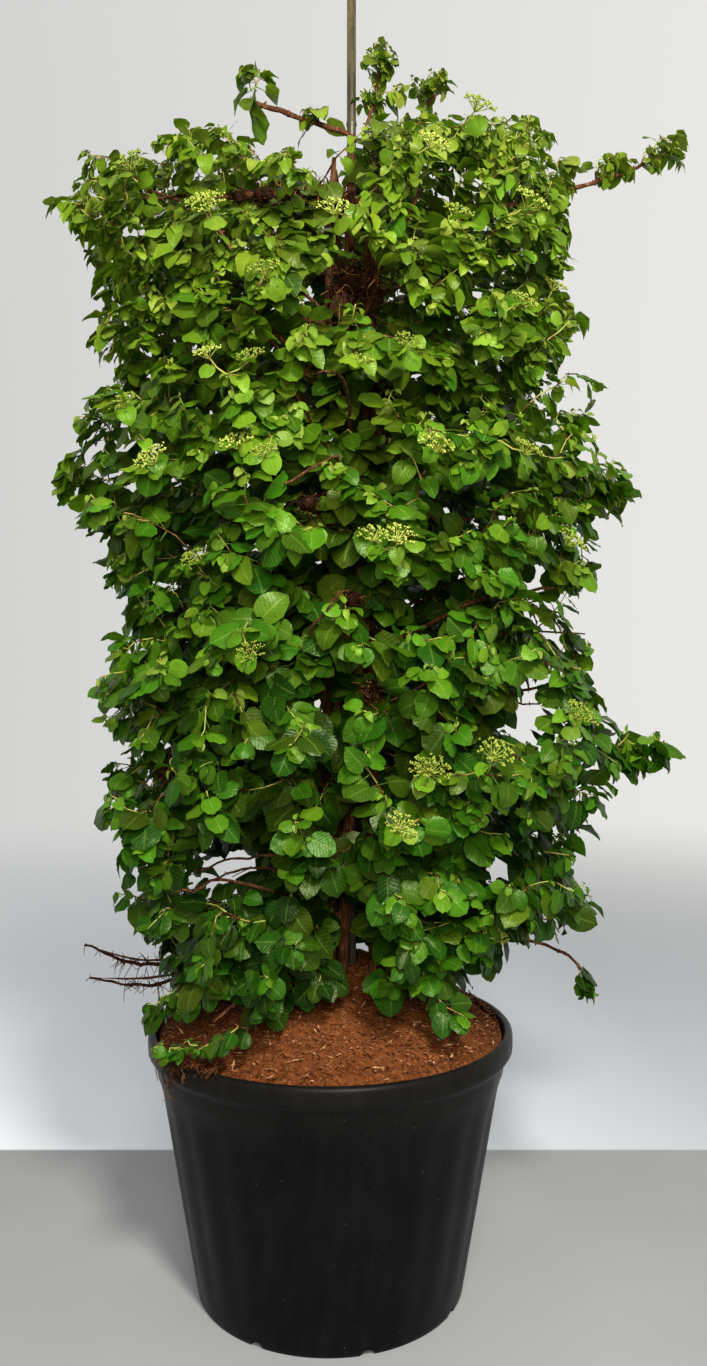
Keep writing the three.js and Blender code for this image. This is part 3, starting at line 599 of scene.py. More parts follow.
def black_polyethylene(add):
    """Blow-moulded black polyethylene: a dull waxy skin with fine grain, scuffs, and dust near the rim."""
    coords = add("TexCoord")["Object"]
    height = add("SeparateXYZ", (coords,))[2]
    cloudy = add("TexNoise", {"Vector": coords, "Scale": 7.0, "Detail": 4.0})["Fac"]
    grain = add("TexNoise", {"Vector": coords, "Scale": 900.0, "Detail": 2.0})["Fac"]
    streaks_way = add("Mapping", {"Vector": coords, "Scale": (1.0, 1.0, 0.22)})[0]
    streaks = add("TexNoise", {"Vector": streaks_way, "Scale": 46.0, "Detail": 5.0})["Fac"]
    specks = add("TexNoise", {"Vector": coords, "Scale": 330.0, "Detail": 1.0})["Fac"]
    speck = add("MapRange", (specks, 0.78, 0.81))[0]
    dust_high = add("MapRange", (height, 0.33, 0.44))[0]
    dust = add("Math", (dust_high, cloudy), operation="MULTIPLY")[0]
    base = add("ValToRGB", (cloudy,), [(0.3, "#020303"), (0.6, "#050606"), (0.8, "#090b0a")])[0]
    scuffs = add("Math", (streaks, 3.0), operation="POWER")[0]
    worn = laid_over(add, base, "#6a6a66", scuffs, 0.05)
    dusty = laid_over(add, worn, "#8a7a6c", dust, 0.03)
    rough = add("Math", (streaks, 0.22, 0.3), operation="MULTIPLY_ADD")[0]
    bump = add("Bump", {"Height": grain, "Strength": 0.12, "Distance": 0.3 * MM})[0]
    return add("BsdfPrincipled", {
        "Base Color": laid_over(add, dusty, "#8f8c84", speck, 0.3), "Roughness": rough, "IOR": 1.5,
        "Specular IOR Level": 0.1, "Normal": bump,
    })[0]


def bark_and_coir(add):
    """Moist chopped bark and coir: reddish brown crumbs with pale flecks."""
    age = add("SeparateXYZ", (add("Attribute", attribute_name="tone")["Vector"],))[0]
    coords = add("TexCoord")["Object"]
    crumbs = add("TexVoronoi", {"Vector": coords, "Scale": 210.0, "Randomness": 1.0})
    cell = add("SeparateColor", (crumbs["Color"],))[0]
    fine = add("TexNoise", {"Vector": coords, "Scale": 420.0, "Detail": 4.0})["Fac"]
    by_cell = add("Math", (cell, 0.3), operation="MULTIPLY")[0]
    by_age = add("Math", (age, 0.7), operation="MULTIPLY")[0]
    value = add("Math", (by_cell, by_age), operation="ADD")[0]
    colour = add("ValToRGB", (value,), [
        (0.0, "#3a1d0d"), (0.25, "#572c14"), (0.5, "#70401f"), (0.7, "#98623c"), (0.86, "#c08e62"),
        (1.0, "#dcb893"),
    ])[0]
    crumb_height = add("Math", (crumbs["Distance"], -1.0), operation="MULTIPLY")[0]
    height = add("Math", (crumb_height, fine), operation="ADD")[0]
    bump = add("Bump", {"Height": height, "Strength": 0.9, "Distance": 3.0 * MM})[0]
    return add("BsdfPrincipled", {
        "Base Color": laid_over(add, colour, "#3f1c08", fine, 0.34), "Roughness": 0.95,
        "Specular IOR Level": 0.1, "Normal": bump,
    })[0]


def weathered_bamboo(add):
    """Bamboo cane: smooth olive skin, weathered in dark patches, and darker below the crown as painted shade
    where the leaves cover it.
    """
    coords = add("TexCoord")["Object"]
    stretched = add("Mapping", {"Vector": coords, "Scale": (1.0, 1.0, 0.12)})[0]
    patches = add("TexNoise", {"Vector": stretched, "Scale": 90.0, "Detail": 5.0})["Fac"]
    spots = add("TexNoise", {"Vector": coords, "Scale": 130.0, "Detail": 3.0})["Fac"]
    olive = add("ValToRGB", (patches,), [
        (0.3, "#2a2515"), (0.5, "#4d4426"), (0.68, "#635833"), (0.8, "#7a6e4b"),
    ])[0]
    spotted = laid_over(add, olive, "#1d1910", add("MapRange", (spots, 0.55, 0.68))[0], 0.7)
    # Painted shade: the cane turns dark below the top of the crown, where the leaves shade it
    shaded = add("MapRange", (add("SeparateXYZ", (coords,))[2], 2.26, 2.12))[0]
    colour = laid_over(add, spotted, "#17170c", shaded, 0.62)
    return add("BsdfPrincipled", {"Base Color": colour, "Roughness": 0.42})[0]


LEAF, GREEN_TWIG, BARK, BUDS = map(finish, (hydrangea_leaf, green_shoot_skin, peeling_bark, corymb_buds))
ROOT_FIBRE, POT_SKIN = map(finish, (dry_root_fibre, black_polyethylene))
SOIL, CANE = map(finish, (bark_and_coir, weathered_bamboo))
FOLIAGE_FINISHES = [LEAF, GREEN_TWIG, BARK, BUDS]
AS_LEAF, AS_GREEN, AS_BARK, AS_BUD = range(4)


# Pot: turned up from its base ring by ring, then fluted and notched

def make_pot():
    bpy.ops.mesh.primitive_circle_add(vertices=POT_SEGMENTS, radius=POT_BASE_RADIUS, fill_type="NGON")
    pot = bpy.context.object
    pot.name = "moulded_pot"
    bpy.ops.object.mode_set(mode="EDIT")
    bpy.ops.mesh.select_all(action="SELECT")
    last_radius, last_height = POT_BASE_RADIUS, 0.0
    for radius, height in POT_OUTSIDE + POT_INSIDE:
        bpy.ops.mesh.extrude_region_move(TRANSFORM_OT_translate={"value": (0, 0, height - last_height)})
        scale = radius / last_radius
        bpy.ops.transform.resize(value=(scale, scale, 1), center_override=(0, 0, height))
        last_radius, last_height = radius, height
    # The first face was drawn up to be the inside's floor, so the base is closed again
    bpy.ops.mesh.select_all(action="DESELECT")
    bpy.ops.mesh.select_non_manifold()
    bpy.ops.mesh.edge_face_add()
    bpy.ops.mesh.select_all(action="SELECT")
    bpy.ops.mesh.normals_make_consistent(inside=False)
    bpy.ops.object.mode_set(mode="OBJECT")
    flute(pot)
    notch_foot(pot)
    pot.data.materials.append(POT_SKIN)
    pot.data.shade_smooth()
    bpy.ops.object.shade_smooth_by_angle(angle=math.radians(50))
    settle(pot, "pot_plastic", "pot")


def flute(pot):
    """Draws the wall in along its flutes, in a smooth wave round the pot."""
    low, high = FLUTE_ROWS
    for vertex in pot.data.vertices:
        x, y, z = vertex.co
        if low < z < high:
            wave = 0.5 - 0.5 * math.cos(math.atan2(y, x) * POT_FLUTES)
            pull = 1 - FLUTE_DEPTH * wave ** 1.5 / math.hypot(x, y)
            vertex.co.x, vertex.co.y = x * pull, y * pull


def notch_foot(pot):
    """Cuts the drain notches in to the foot."""
    cutters = []
    for i in range(DRAIN_NOTCHES):
        angle = (i + DRAIN_TURN) / DRAIN_NOTCHES * 2 * math.pi
        bpy.ops.mesh.primitive_cylinder_add(
            vertices=20, radius=NOTCH_RADIUS, depth=NOTCH_LENGTH, location=at_turn(angle, POT_BASE_RADIUS, 0),
            rotation=(math.pi / 2, 0, angle + math.pi / 2))
        cutter = bpy.context.object
        cutter.scale = (1, 0.8, 1)
        cutters.append(cutter)
        cut = pot.modifiers.new("notch", "BOOLEAN")
        cut.operation, cut.solver, cut.object = "DIFFERENCE", "EXACT", cutter
    apply_modifiers(pot)
    for cutter in cutters:
        bpy.data.objects.remove(cutter)


# Soil

def soil_surface():
    """A function that gives the soil solid's height at a place, smoothed over a hand's width."""
    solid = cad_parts["soil"].data
    tree = BVHTree.FromPolygons([v.co for v in solid.vertices], [p.vertices for p in solid.polygons])
    near = ((0, 0), (SOIL_SAMPLE, 0), (-SOIL_SAMPLE, 0), (0, SOIL_SAMPLE), (0, -SOIL_SAMPLE))

    def soil_height(x, y):
        hits = [tree.ray_cast(Vector((x + dx, y + dy, 1.0)), Vector((0, 0, -1)))[0] for dx, dy in near]
        heights = [hit.z for hit in hits if hit is not None and hit.z > SOIL_LOWEST]
        return sum(heights) / len(heights) if heights else SOIL_EDGE
    return soil_height


def soil_bumps(x, y):
    """Lumps and crumbs on the mound."""
    coarse = noise.fractal(Vector((x, y, 0)) * 26, 1.0, 2.0, 4)
    fine = noise.fractal(Vector((x, y, 3)) * 120, 1.0, 2.0, 3)
    return 4.5 * MM * coarse + 1.8 * MM * fine


def make_soil(soil_height):
    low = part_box("soil")[0]
    edge = max(abs(low.x), abs(low.y)) - 0.5 * MM
    turns = np.arange(SOIL_SPOKES) * 2 * np.pi / SOIL_SPOKES
    points = [(0, 0, soil_height(0, 0))]
    for k in range(1, SOIL_RINGS + 1):
        radius = edge * k / SOIL_RINGS
        inner = 1 - (k / SOIL_RINGS) ** 12
        for turn in turns:
            x, y = math.cos(turn) * radius, math.sin(turn) * radius
            rise = (soil_height(x, y) - SOIL_EDGE) * inner
            points.append((x, y, SOIL_EDGE + rise + soil_bumps(x, y) * (0.4 + 0.6 * inner)))
    points += [at_turn(turn, SOIL_FOOT, SOIL_FLOOR) for turn in turns]
    spoke = np.arange(SOIL_SPOKES)
    after = (spoke + 1) % SOIL_SPOKES
    corners = [np.stack([np.zeros_like(spoke), 1 + spoke, 1 + after], 1).ravel()]
    sizes = [np.full(SOIL_SPOKES, 3)]
    for k in range(SOIL_RINGS):
        here, there = 1 + k * SOIL_SPOKES, 1 + (k + 1) * SOIL_SPOKES
        corners.append(np.stack([here + spoke, there + spoke, there + after, here + after], 1).ravel())
        sizes.append(np.full(SOIL_SPOKES, 4))
    corners.append(1 + SOIL_RINGS * SOIL_SPOKES + spoke[::-1])
    sizes.append(np.array([SOIL_SPOKES]))
    pile = Pile()
    pile.add(np.array(points), np.concatenate(corners), np.concatenate(sizes), 0, tone=(0.36, 0, 0))
    scatter_chips(pile, soil_height, edge)
    settle(pile.piece("soil_mound", [SOIL], smooth=False), "soil", "soil")


def chip_shape(stretch, flatness):
    """A splinter of bark: a four-sided spindle, thicker at one end."""
    points, corners, sizes = [(0.5 * stretch, 0, 0), (-0.5 * stretch, 0, 0)], [], []
    for i in range(4):
        turn = i * math.pi / 2 + 0.4
        points.append((0.08 * stretch, 0.28 * math.cos(turn), 0.28 * flatness * math.sin(turn)))
    for i in range(4):
        a, b = 2 + i, 2 + (i + 1) % 4
        corners += [0, a, b, 1, b, a]
        sizes += [3, 3]
    return np.array(points), np.array(corners), np.array(sizes), np.zeros((len(corners), 2))


def scatter_chips(pile, soil_height, edge):
    """Splinters and crumbs lying all over the mound, most of them fine."""
    shapes = [chip_shape(1.0, 0.5), chip_shape(1.7, 0.35), chip_shape(2.6, 0.4)]
    picks = rng.choice(3, SOIL_CHIPS, p=[0.5, 0.33, 0.17])
    for pick, shape in enumerate(shapes):
        chosen = np.flatnonzero(picks == pick)
        radius = edge * np.sqrt(rng.random(len(chosen))) * 0.99
        turn = rng.random(len(chosen)) * 2 * np.pi
        places, tones = [], []
        for r, t in zip(radius, turn):
            x, y = r * math.cos(t), r * math.sin(t)
            size = (3.0 + 7.0 * rng.random() ** 2.5) * MM
            lean = rng.normal(0, 0.28, 2)
            spin = rng.random() * 2 * math.pi
            up = unit([lean[0], lean[1], 1.0])
            ahead = unit(np.cross(up, [math.cos(spin), math.sin(spin), 0]))
            across = np.cross(up, ahead)
            spot = (x, y, soil_height(x, y) + soil_bumps(x, y) + 0.25 * size)
            places.append(np.column_stack([ahead * size, across * size, up * size, spot]))
            tones.append((0.1 + 0.9 * rng.beta(1.0, 1.05), 0, 0))
        pile.stamp(shape, np.array(places), 0, np.array(tones))


# Cane

def make_cane():
    low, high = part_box("cane")
    heights, radii = [low.z], [CANE_RADIUS]
    z = low.z + KNUCKLE_SPACING
    while z < high.z - KNUCKLE_SPACING / 2:
        heights += [z + along * MM for along, _ in KNUCKLE]
        radii += [CANE_RADIUS + swell * MM for _, swell in KNUCKLE]
        z += KNUCKLE_SPACING
    pile = Pile()
    pile.tube([(*CANE_AXIS, z) for z in heights + [high.z]], radii + [CANE_RADIUS], CANE_SIDES, 0)
    settle(pile.piece("bamboo_cane", [CANE]), "cane", "cane")


# Woody stems: the solids' stems and branches, rounded and barked, with dead twigs and clinging roots

def make_stem(number):
    node = f"woody_stem_{number}"
    stem = merged_copy(node, f"barked_stem_{number}")
    stem.data.materials.append(BARK)
    round_off = stem.modifiers.new("round", "SUBSURF")
    round_off.levels = round_off.render_levels = 2
    gnarl = bpy.data.textures.new(f"gnarl_{number}", "CLOUDS")
    gnarl.noise_scale = 0.02
    knobbly = stem.modifiers.new("gnarl", "DISPLACE")
    knobbly.texture = gnarl
    knobbly.texture_coords = "LOCAL"
    knobbly.strength = 3.2 * MM
    knobbly.mid_level = 0.45
    apply_modifiers(stem)
    slim_branches(stem)
    stem.data.shade_smooth()
    settle(stem, "bark", node)
    make_dead_twigs(number, node)


def slim_branches(stem):
    """Draws the solid's branches in along the shoots that stick out, so that the shoots' stems cover them."""
    points = np.empty(len(stem.data.vertices) * 3)
    stem.data.vertices.foreach_get("co", points)
    points = points.reshape(-1, 3)
    for (first, last), way_points in SHOOT_STEMS.values():
        path = smooth_path(np.array(way_points) * MM, 12)
        gaps = np.linalg.norm(points[:, None] - path[None], axis=2)
        nearest = gaps.argmin(axis=1)
        off = points - path[nearest]
        reach = np.linalg.norm(off, axis=1)
        most = np.linspace(first, last, len(path))[nearest] * 0.7 * MM
        drawn = (reach < 18 * MM) & (reach > most) & (nearest > 4)
        points[drawn] = path[nearest[drawn]] + off[drawn] * (most[drawn] / reach[drawn])[:, None]
    stem.data.vertices.foreach_set("co", points.ravel())
    stem.data.update()


def make_dead_twigs(number, node):
    """Thin brown twigs that fill the inside of the column."""
    points = solid_points(node)
    lowest, highest = DEAD_TWIG_HEIGHTS
    high_enough = (points[:, 2] > lowest) & (points[:, 2] < highest)
    starts = points[(from_cane(points) < DEAD_TWIG_REACH) & high_enough]
    pile = Pile()
    for _ in range(DEAD_TWIGS):
        path = [starts[rng.integers(len(starts))] + rng.normal(0, 1 * MM, 3)]
        way = unit(outward(path[0]) + rng.normal(0, 0.6, 3))
        length = 0.06 + 0.12 * rng.random()
        for _ in range(DEAD_TWIG_STEPS):
            way = unit(way + rng.normal(0, 0.22, 3))
            path.append(path[-1] + way * length / DEAD_TWIG_STEPS)
        pile.tube(path, np.linspace(2.1, 0.8, len(path)) * MM, 5, 0)
    settle(pile.piece(f"inner_twigs_{number}", [BARK]), "bark")


def root_tangle(pile, centre, reach, count):
    """A tangle of fine dead roots round a dark matted core."""
    core = centre + np.array(reach) * 0.62 * unit(rng.normal(0, 1, (12 + count // 5, 3)))
    for a, b in zip(core, core[1:]):
        pile.tube([a, (a + b) / 2, b], np.array([5.0, 7.0, 5.0]) * MM, 4, 0, (0.1, 0, 0))
    for _ in range(count):
        path = [centre + rng.normal(0, 0.45, 3) * reach]
        way = unit(rng.normal(0, 1, 3))
        for _ in range(3):
            way = unit(way + rng.normal(0, 0.5, 3) + [0, -0.15, -0.1])
            path.append(path[-1] + way * (5 + 7 * rng.random()) * MM)
        pile.tube(path, np.linspace(1.2, 0.5, 4) * MM, 3, 0, (rng.random() ** 2.2, 0, 0))


def make_root_mats():
    """Tangles of dead clinging roots on the front of the stems, and along one dead branch near the top."""
    pile = Pile()
    for place, reach, count in ROOT_TANGLES:
        centre = at_photo(*place)
        trunk = np.array([CANE_AXIS[0], -0.05, centre[2] - 0.04])
        pile.tube([trunk, (trunk + centre) / 2, centre], np.array([5.0, 4.5, 4.0]) * MM, 6, 0)
        root_tangle(pile, centre, reach, count)
    bar = smooth_path([np.array([CANE_AXIS[0], -0.05, 1.8])] + [at_photo(*p) for p in DEAD_BRANCH], 7)
    pile.tube(bar, np.full(len(bar), 5.5 * MM), 6, 0)
    for k in np.linspace(7, len(bar) - 1, 11).astype(int):
        root_tangle(pile, bar[k], (0.014, 0.013, 0.011), 34)
    settle(pile.piece("clinging_root_mats", [ROOT_FIBRE]), "bark")


def make_bare_branches():
    """Bare brown branches that show at the front, each from the stems."""
    pile = Pile()
    for thickness, points in FRONT_BRANCHES:
        radius = thickness * MM
        first = at_photo(*points[0])
        trunk = np.array([CANE_AXIS[0] + 0.1 * first[0], -0.03, first[2] - 0.09])
        path = smooth_path([trunk] + [at_photo(*p) for p in points], 6)
        path[1:-1] += rng.normal(0, 1.3 * MM, path[1:-1].shape)
        radii = np.linspace(1.25, 0.75, len(path)) * radius * rng.uniform(0.88, 1.15, len(path))
        pile.tube(path, radii, 6, 0)
        side_buds(pile, path[8:], radius, 0)
    settle(pile.piece("bare_branches", [BARK]), "bark")


def side_buds(pile, path, radius, finish):
    """Paired dry buds and short spurs along a branch."""
    for k in range(1, len(path) - 1, 3):
        way = unit(rng.normal(0, 1, 3) + [0, -0.3, 0.2])
        length = rng.uniform(1.4, 2.6) * radius
        for sign in (1, -1):
            tip = path[k] + sign * way * length
            pile.tube([path[k], tip], np.array([0.62, 0.34]) * radius, 5, finish)


def make_hanging_roots():
    """Bare dark roots low on the left, and dried root ends over the rim, with fine side hairs."""
    pile = Pile()
    for points in HANGING_ROOTS:
        path = smooth_path(np.array(points) * MM, 9)
        path[1:-1] += rng.normal(0, 1.2 * MM, path[1:-1].shape)
        radii = np.linspace(4.4, 1.9, len(path)) * MM * rng.uniform(0.85, 1.2, len(path))
        pile.tube(path, radii, 6, 0, (0.3, 0, 0))
        hairs(pile, path[5:14], 70, 24)
        hairs(pile, path[12:], 16, 12)
    for _ in range(RIM_ROOTS):
        turn = rng.choice(RIM_ROOT_TURNS) + rng.normal(0, 0.05)
        inner = at_turn(turn, 0.285, 0.447)
        outer = at_turn(turn, 0.322, 0.445 + 0.012 * rng.random())
        drop = outer + at_turn(turn, 0.004, -0.006 - 0.045 * rng.random() ** 2)
        path = smooth_path([inner, outer, drop + rng.normal(0, 5 * MM, 3)], 5)
        path += rng.normal(0, 2.0 * MM, path.shape)
        pile.tube(path, np.linspace(2.0, 0.8, len(path)) * MM, 4, 0, (0.35 + 0.5 * rng.random(), 0, 0))
        hairs(pile, path[2:], 14, 11)
    settle(pile.piece("hanging_roots", [ROOT_FIBRE]), "bark")


def hairs(pile, path, count, length):
    """Fine dry hairs along a root."""
    for _ in range(count):
        start = path[rng.integers(len(path))]
        way = unit(rng.normal(0, 1, 3))
        reach = length * (0.5 + rng.random()) * MM
        bend = start + way * reach * 0.5 + rng.normal(0, 1.5 * MM, 3)
        tip = start + way * reach + [0, 0, -0.15 * reach]
        pile.tube([start, bend, tip], np.array([0.9, 0.7, 0.4]) * MM, 3, 0, (0.2 + 0.6 * rng.random(), 0, 0))


# Leaves and flower heads, as shapes that are stamped

def leaf_shape(rows, broad, fold, droop, curl, wave, columns):
    """A leaf with its stalk and a blade of length 1: it starts at the origin, runs along +Y and faces +Z."""
    points, uv_of = [], []
    across = np.linspace(-1, 1, 2 * columns + 1)
    for i, v in enumerate(rows):
        half_width = float(np.interp(v, GROWN_ROWS, BLADE_HALF_WIDTHS))
        for u in across:
            tooth = 1 + (0.02 if i % 2 else -0.01) * (abs(u) > 0.9) * (0 < v < 0.95)
            x = u * half_width * broad * tooth
            along = v - 0.09 * abs(u) * (1 - v) ** 4
            bend = droop * max(along, 0)
            y = math.sin(bend) / droop if along > 0 else along
            z = -(1 - math.cos(bend)) / droop
            z += fold * abs(x) - curl * x * x * 1.6 + wave * math.sin(v * 13 + u * 2.5 + wave * 90) * abs(u)
            points.append((x, LEAF_STALK + y, z))
            uv_of.append((0.5 + u / 2, v))
    width = len(across)
    corners = []
    for i in range(len(rows) - 1):
        for a in range(i * width, (i + 1) * width - 1):
            corners += [a, a + 1, a + width + 1, a + width]
    uv = [uv_of[c] for c in corners] + [STALK_UV] * 12
    corners += list(band(len(points), 3))
    for y, z, r in ((0, -0.02, 0.024), (LEAF_STALK * 1.05, -0.014, 0.018)):
        for k in range(3):
            turn = k * 2 * math.pi / 3
            points.append((r * math.sin(turn), y, z + r * math.cos(turn)))
    return np.array(points), np.array(corners), np.full(len(corners) // 4, 4), np.array(uv)


LEAF_SHAPES, picks = [], []
for rows, blades in LEAF_KINDS:
    picks.append(range(len(LEAF_SHAPES), len(LEAF_SHAPES) + len(blades)))
    LEAF_SHAPES += [leaf_shape(rows, *blade) for blade in blades]
GROWN, CROWN, YOUNG, SHADED = picks


class Leaves:
    """Leaves to be stamped, gathered by shape."""

    def __init__(self):
        self.places = [[] for _ in LEAF_SHAPES]
        self.tones = [[] for _ in LEAF_SHAPES]

    def add(self, at, way, face, length, age, kind):
        face = unit(face)
        ahead = unit(way - face * np.dot(way, face))
        side = np.cross(ahead, face)
        pick = rng.choice(kind)
        self.places[pick].append(np.column_stack([side * length, ahead * length, face * length, at]))
        # Painted shade: leaves are darker low down by height, plus a random tone of their own
        lightness_and_shade = np.clip(rng.normal(np.interp(at[2], *PAINTED_SHADE_UP), 0.25), 0, 1)
        warmth = np.clip(np.interp(at[2], *WARMTH_UP) + rng.normal(0, 0.2), 0, 1)
        self.tones[pick].append((np.clip(age, 0, 1), warmth, lightness_and_shade))

    def stamp(self, pile):
        for shape, places, tones in zip(LEAF_SHAPES, self.places, self.tones):
            pile.stamp(shape, np.array(places), AS_LEAF, np.array(tones))


def leaf_pair(leaves, at, way, turn, length, age, kind=GROWN):
    """Two leaves opposite each other on a twig, hanging from it and facing out to the light."""
    out = outward(at)
    side = unit(np.cross(way, [0.02, 0.03, 1.0]))
    sideways = side * math.cos(turn) + np.cross(way, side) * math.sin(turn)
    spread = np.interp(at[2], *SPREAD_UP)
    for sign in (1, -1):
        hang = rng.uniform(0.15, 1.0) + 0.4 * spread
        ahead = sign * sideways * 0.9 + way * 0.45 + [0, 0, -hang] + out * (0.2 + 0.3 * spread)
        face = out * rng.uniform(0.35, 1.0) * (1 - 0.45 * spread)
        face = face + [0, 0, rng.uniform(0.3, 1.0) + 0.3 * spread] + rng.normal(0, 0.34, 3)
        leaves.add(at, unit(ahead), face, length * rng.uniform(0.82, 1.18), age + rng.normal(0, 0.08), kind)


def head_shape(florets, spread):
    """A flat-topped head of radius 1: rays from the stalk's end to bunches of round buds."""
    points, corners, sizes = [], [], []
    draw = np.random.default_rng(florets)
    bunches = [(0, 0)] + [(0.5, k * 1.2566 + 0.3) for k in range(5)] + [(0.86, k * 0.785) for k in range(8)]
    for reach, turn in bunches:
        cx, cy = reach * math.cos(turn), reach * math.sin(turn)
        top = 0.6 - 0.28 * reach * reach
        corners += list(band(len(points), 3))
        sizes += [4] * 3
        for x, y, z, radius in ((0, 0, -0.25, 0.05), (cx, cy, top, 0.028)):
            for angle in (0, 2.094, 2 * 2.094):
                points.append((x + radius * math.cos(angle), y + radius * math.sin(angle), z))
        for _ in range(florets):
            r = 0.06 + 0.05 * draw.random()
            centre = np.array([cx, cy, top]) + draw.normal(0, 1, 3) * [spread, spread, 0.06]
            start = len(points)
            for tip in ((1, 0, 0), (0, 1, 0), (-1, 0, 0), (0, -1, 0), (0, 0, 1), (0, 0, -1)):
                points.append(tuple(centre + np.array(tip) * r))
            for k in range(4):
                a, b = start + k, start + (k + 1) % 4
                corners += [a, b, start + 4, b, a, start + 5]
                sizes += [3, 3]
    return np.array(points), np.array(corners), np.array(sizes), np.zeros((len(corners), 2))


HEAD_SHAPES = [head_shape(6, 0.085), head_shape(5, 0.1)]


def flower_head(pile, at, axis, radius):
    axis = unit(axis)
    side = unit(np.cross(axis, [0.3, 0.9, 0.1]))
    place = np.column_stack([side * radius, np.cross(axis, side) * radius, axis * radius, at])
    tones = np.array([(rng.random(), 0, 0)])
    pile.stamp(HEAD_SHAPES[rng.integers(2)], place[None], AS_BUD, tones)


# Sprays: twigs grow from a spray's foot to the places that lie nearest its solid, and carry pairs of leaves

def column_places(height, turn, depth):
    """Places round the column at some depths under its outside."""
    left, right, front = (np.interp(height, COLUMN[:, 0], COLUMN[:, k]) for k in (1, 2, 3))
    cos, sin = np.cos(turn), np.sin(turn)
    x = np.sign(cos) * np.abs(cos) ** COLUMN_SQUARENESS * np.where(cos < 0, left, right)
    y = np.sign(sin) * np.abs(sin) ** COLUMN_SQUARENESS * front
    reach = np.hypot(x, y)
    share = np.maximum(reach - depth, 0.05) / reach
    return np.column_stack([x * share, y * share, height])


def scattered(count, least_depth, most_depth, lowest=COLUMN[0, 0]):
    """Places round the column, at random depths under its outside, which swells and sinks in flat tiers."""
    height = rng.uniform(lowest, COLUMN_TOP, count)
    turn = rng.uniform(-math.pi, math.pi, count)
    depth = least_depth + (most_depth - least_depth) * rng.random(count) ** 1.4
    tiers = [noise.noise(Vector((x * TIERS_ACROSS, y * TIERS_ACROSS, z * TIERS_UP)))
             for x, y, z in column_places(height, turn, 0.0)]
    return column_places(height, turn, depth + 0.028 - TIER_DEPTH * np.array(tiers).clip(-0.4, 0.4))


def scattered_on_top(count):
    """Places over the column's domed top."""
    turn = rng.uniform(-math.pi, math.pi, count)
    share = np.sqrt(rng.random(count))
    places = column_places(np.full(count, 1.95), turn, 0.0)
    places[:, :2] *= share[:, None]
    places[:, 2] = COLUMN_TOP - 0.15 * share ** 2 - 0.05 * rng.random(count)
    return places


def in_opening(place):
    """Whether a place shows in an opening of the foliage."""
    column, row = photo_place(place)
    return any(left < column < right and top < row < bottom and place[1] < depth
               for (left, top, right, bottom), depth in OPENINGS)


def is_clear(place, soil_height):
    """Whether leaves may hang there: over the soil and, at the front, inside the foliage's edges."""
    x, y, z = place
    ground = soil_height(x, y) if math.hypot(x, y) < POT_REACH else SOIL_LOWEST
    if z < ground + OVER_SOIL or in_opening(place):
        return False
    if y > FRONT_ENDS:
        return True
    column, row = photo_place(place)
    in_crown = row - CROWN_MARGIN > np.interp(column, CROWN_COLUMNS, CROWN_ROWS)
    return in_crown and row + HEM_MARGIN < np.interp(column, HEM_COLUMNS, HEM_ROWS)


def share_out(places, sprays, soil_height):
    """Gives each place to the spray whose solid is nearest, if one is near."""
    clouds = {n: solid_points(n) for n in sprays}
    given = {n: [] for n in sprays}
    low, high = np.array(CAD_LOW) + 0.03, np.array(CAD_HIGH) - 0.03
    for place, shaded in places:
        place = np.clip(place, low, high)
        if not is_clear(place, soil_height):
            continue
        gaps = [np.min(np.sum((clouds[n] - place) ** 2, axis=1)) for n in sprays]
        best = int(np.argmin(gaps))
        if gaps[best] < FAR_FROM_SPRAY ** 2:
            given[sprays[best]].append((place, shaded))
    return given


def foot_of(node):
    """Where a spray's or shoot's solid is nearest the cane."""
    points = solid_points(node)
    return points[np.argmin(from_cane(points))]


def shoot_stem(pile, radii, points):
    """The bare stem of a shoot, with buds: gives the points that twigs can grow from, and their ways."""
    path = smooth_path(np.array(points) * MM, 7)
    path[1:-1] += rng.normal(0, 0.9 * MM, path[1:-1].shape)
    thick = np.linspace(*radii, len(path)) * MM * rng.uniform(0.9, 1.14, len(path))
    pile.tube(path, thick, 8, AS_BARK)
    side_buds(pile, path[3:], radii[1] * MM, AS_BARK)
    return list(path), list(unit(np.gradient(path, axis=0)) + [0, 0, 0.5])


def grow(node, targets, size, bright, head_places=()):
    """One spray's or shoot's twigs, leaves and flower heads, as one piece."""
    pile, leaves = Pile(), Leaves()
    foot = foot_of(node)
    knots, ways = [foot], [outward(foot) * 0.9 + [0, 0, 0.3]]
    if node in SHOOT_STEMS:
        knots, ways = shoot_stem(pile, *SHOOT_STEMS[node])
        foot = knots[0]
    ends = []
    for target, shaded in sorted(targets, key=lambda item: np.linalg.norm(item[0] - foot)):
        way = grow_twig(pile, leaves, foot, target, knots, ways, size, bright, shaded)
        if not shaded:
            ends.append((target, way))
    for place in head_places:
        carry_head(pile, leaves, np.array(place), ends)
    for end, way in ends:
        inside_outline = end[1] > -0.2 and abs(end[0]) < 0.36 and end[2] < HEADS_BELOW
        if node not in SHOOT_TIPS and inside_outline and rng.random() < HEAD_SHARE:
            axis = outward(end) * 0.5 + [0, 0, 0.9]
            top = end + unit(axis) * 0.03
            pile.tube([end, top], [1.2 * MM, 0.9 * MM], 3, AS_BUD)
            flower_head(pile, top, axis, HEAD_RADIUS * rng.uniform(0.7, 1.15))
    leaves.stamp(pile)
    settle(pile.piece(f"{node}_grown", FOLIAGE_FINISHES), "foliage", node)


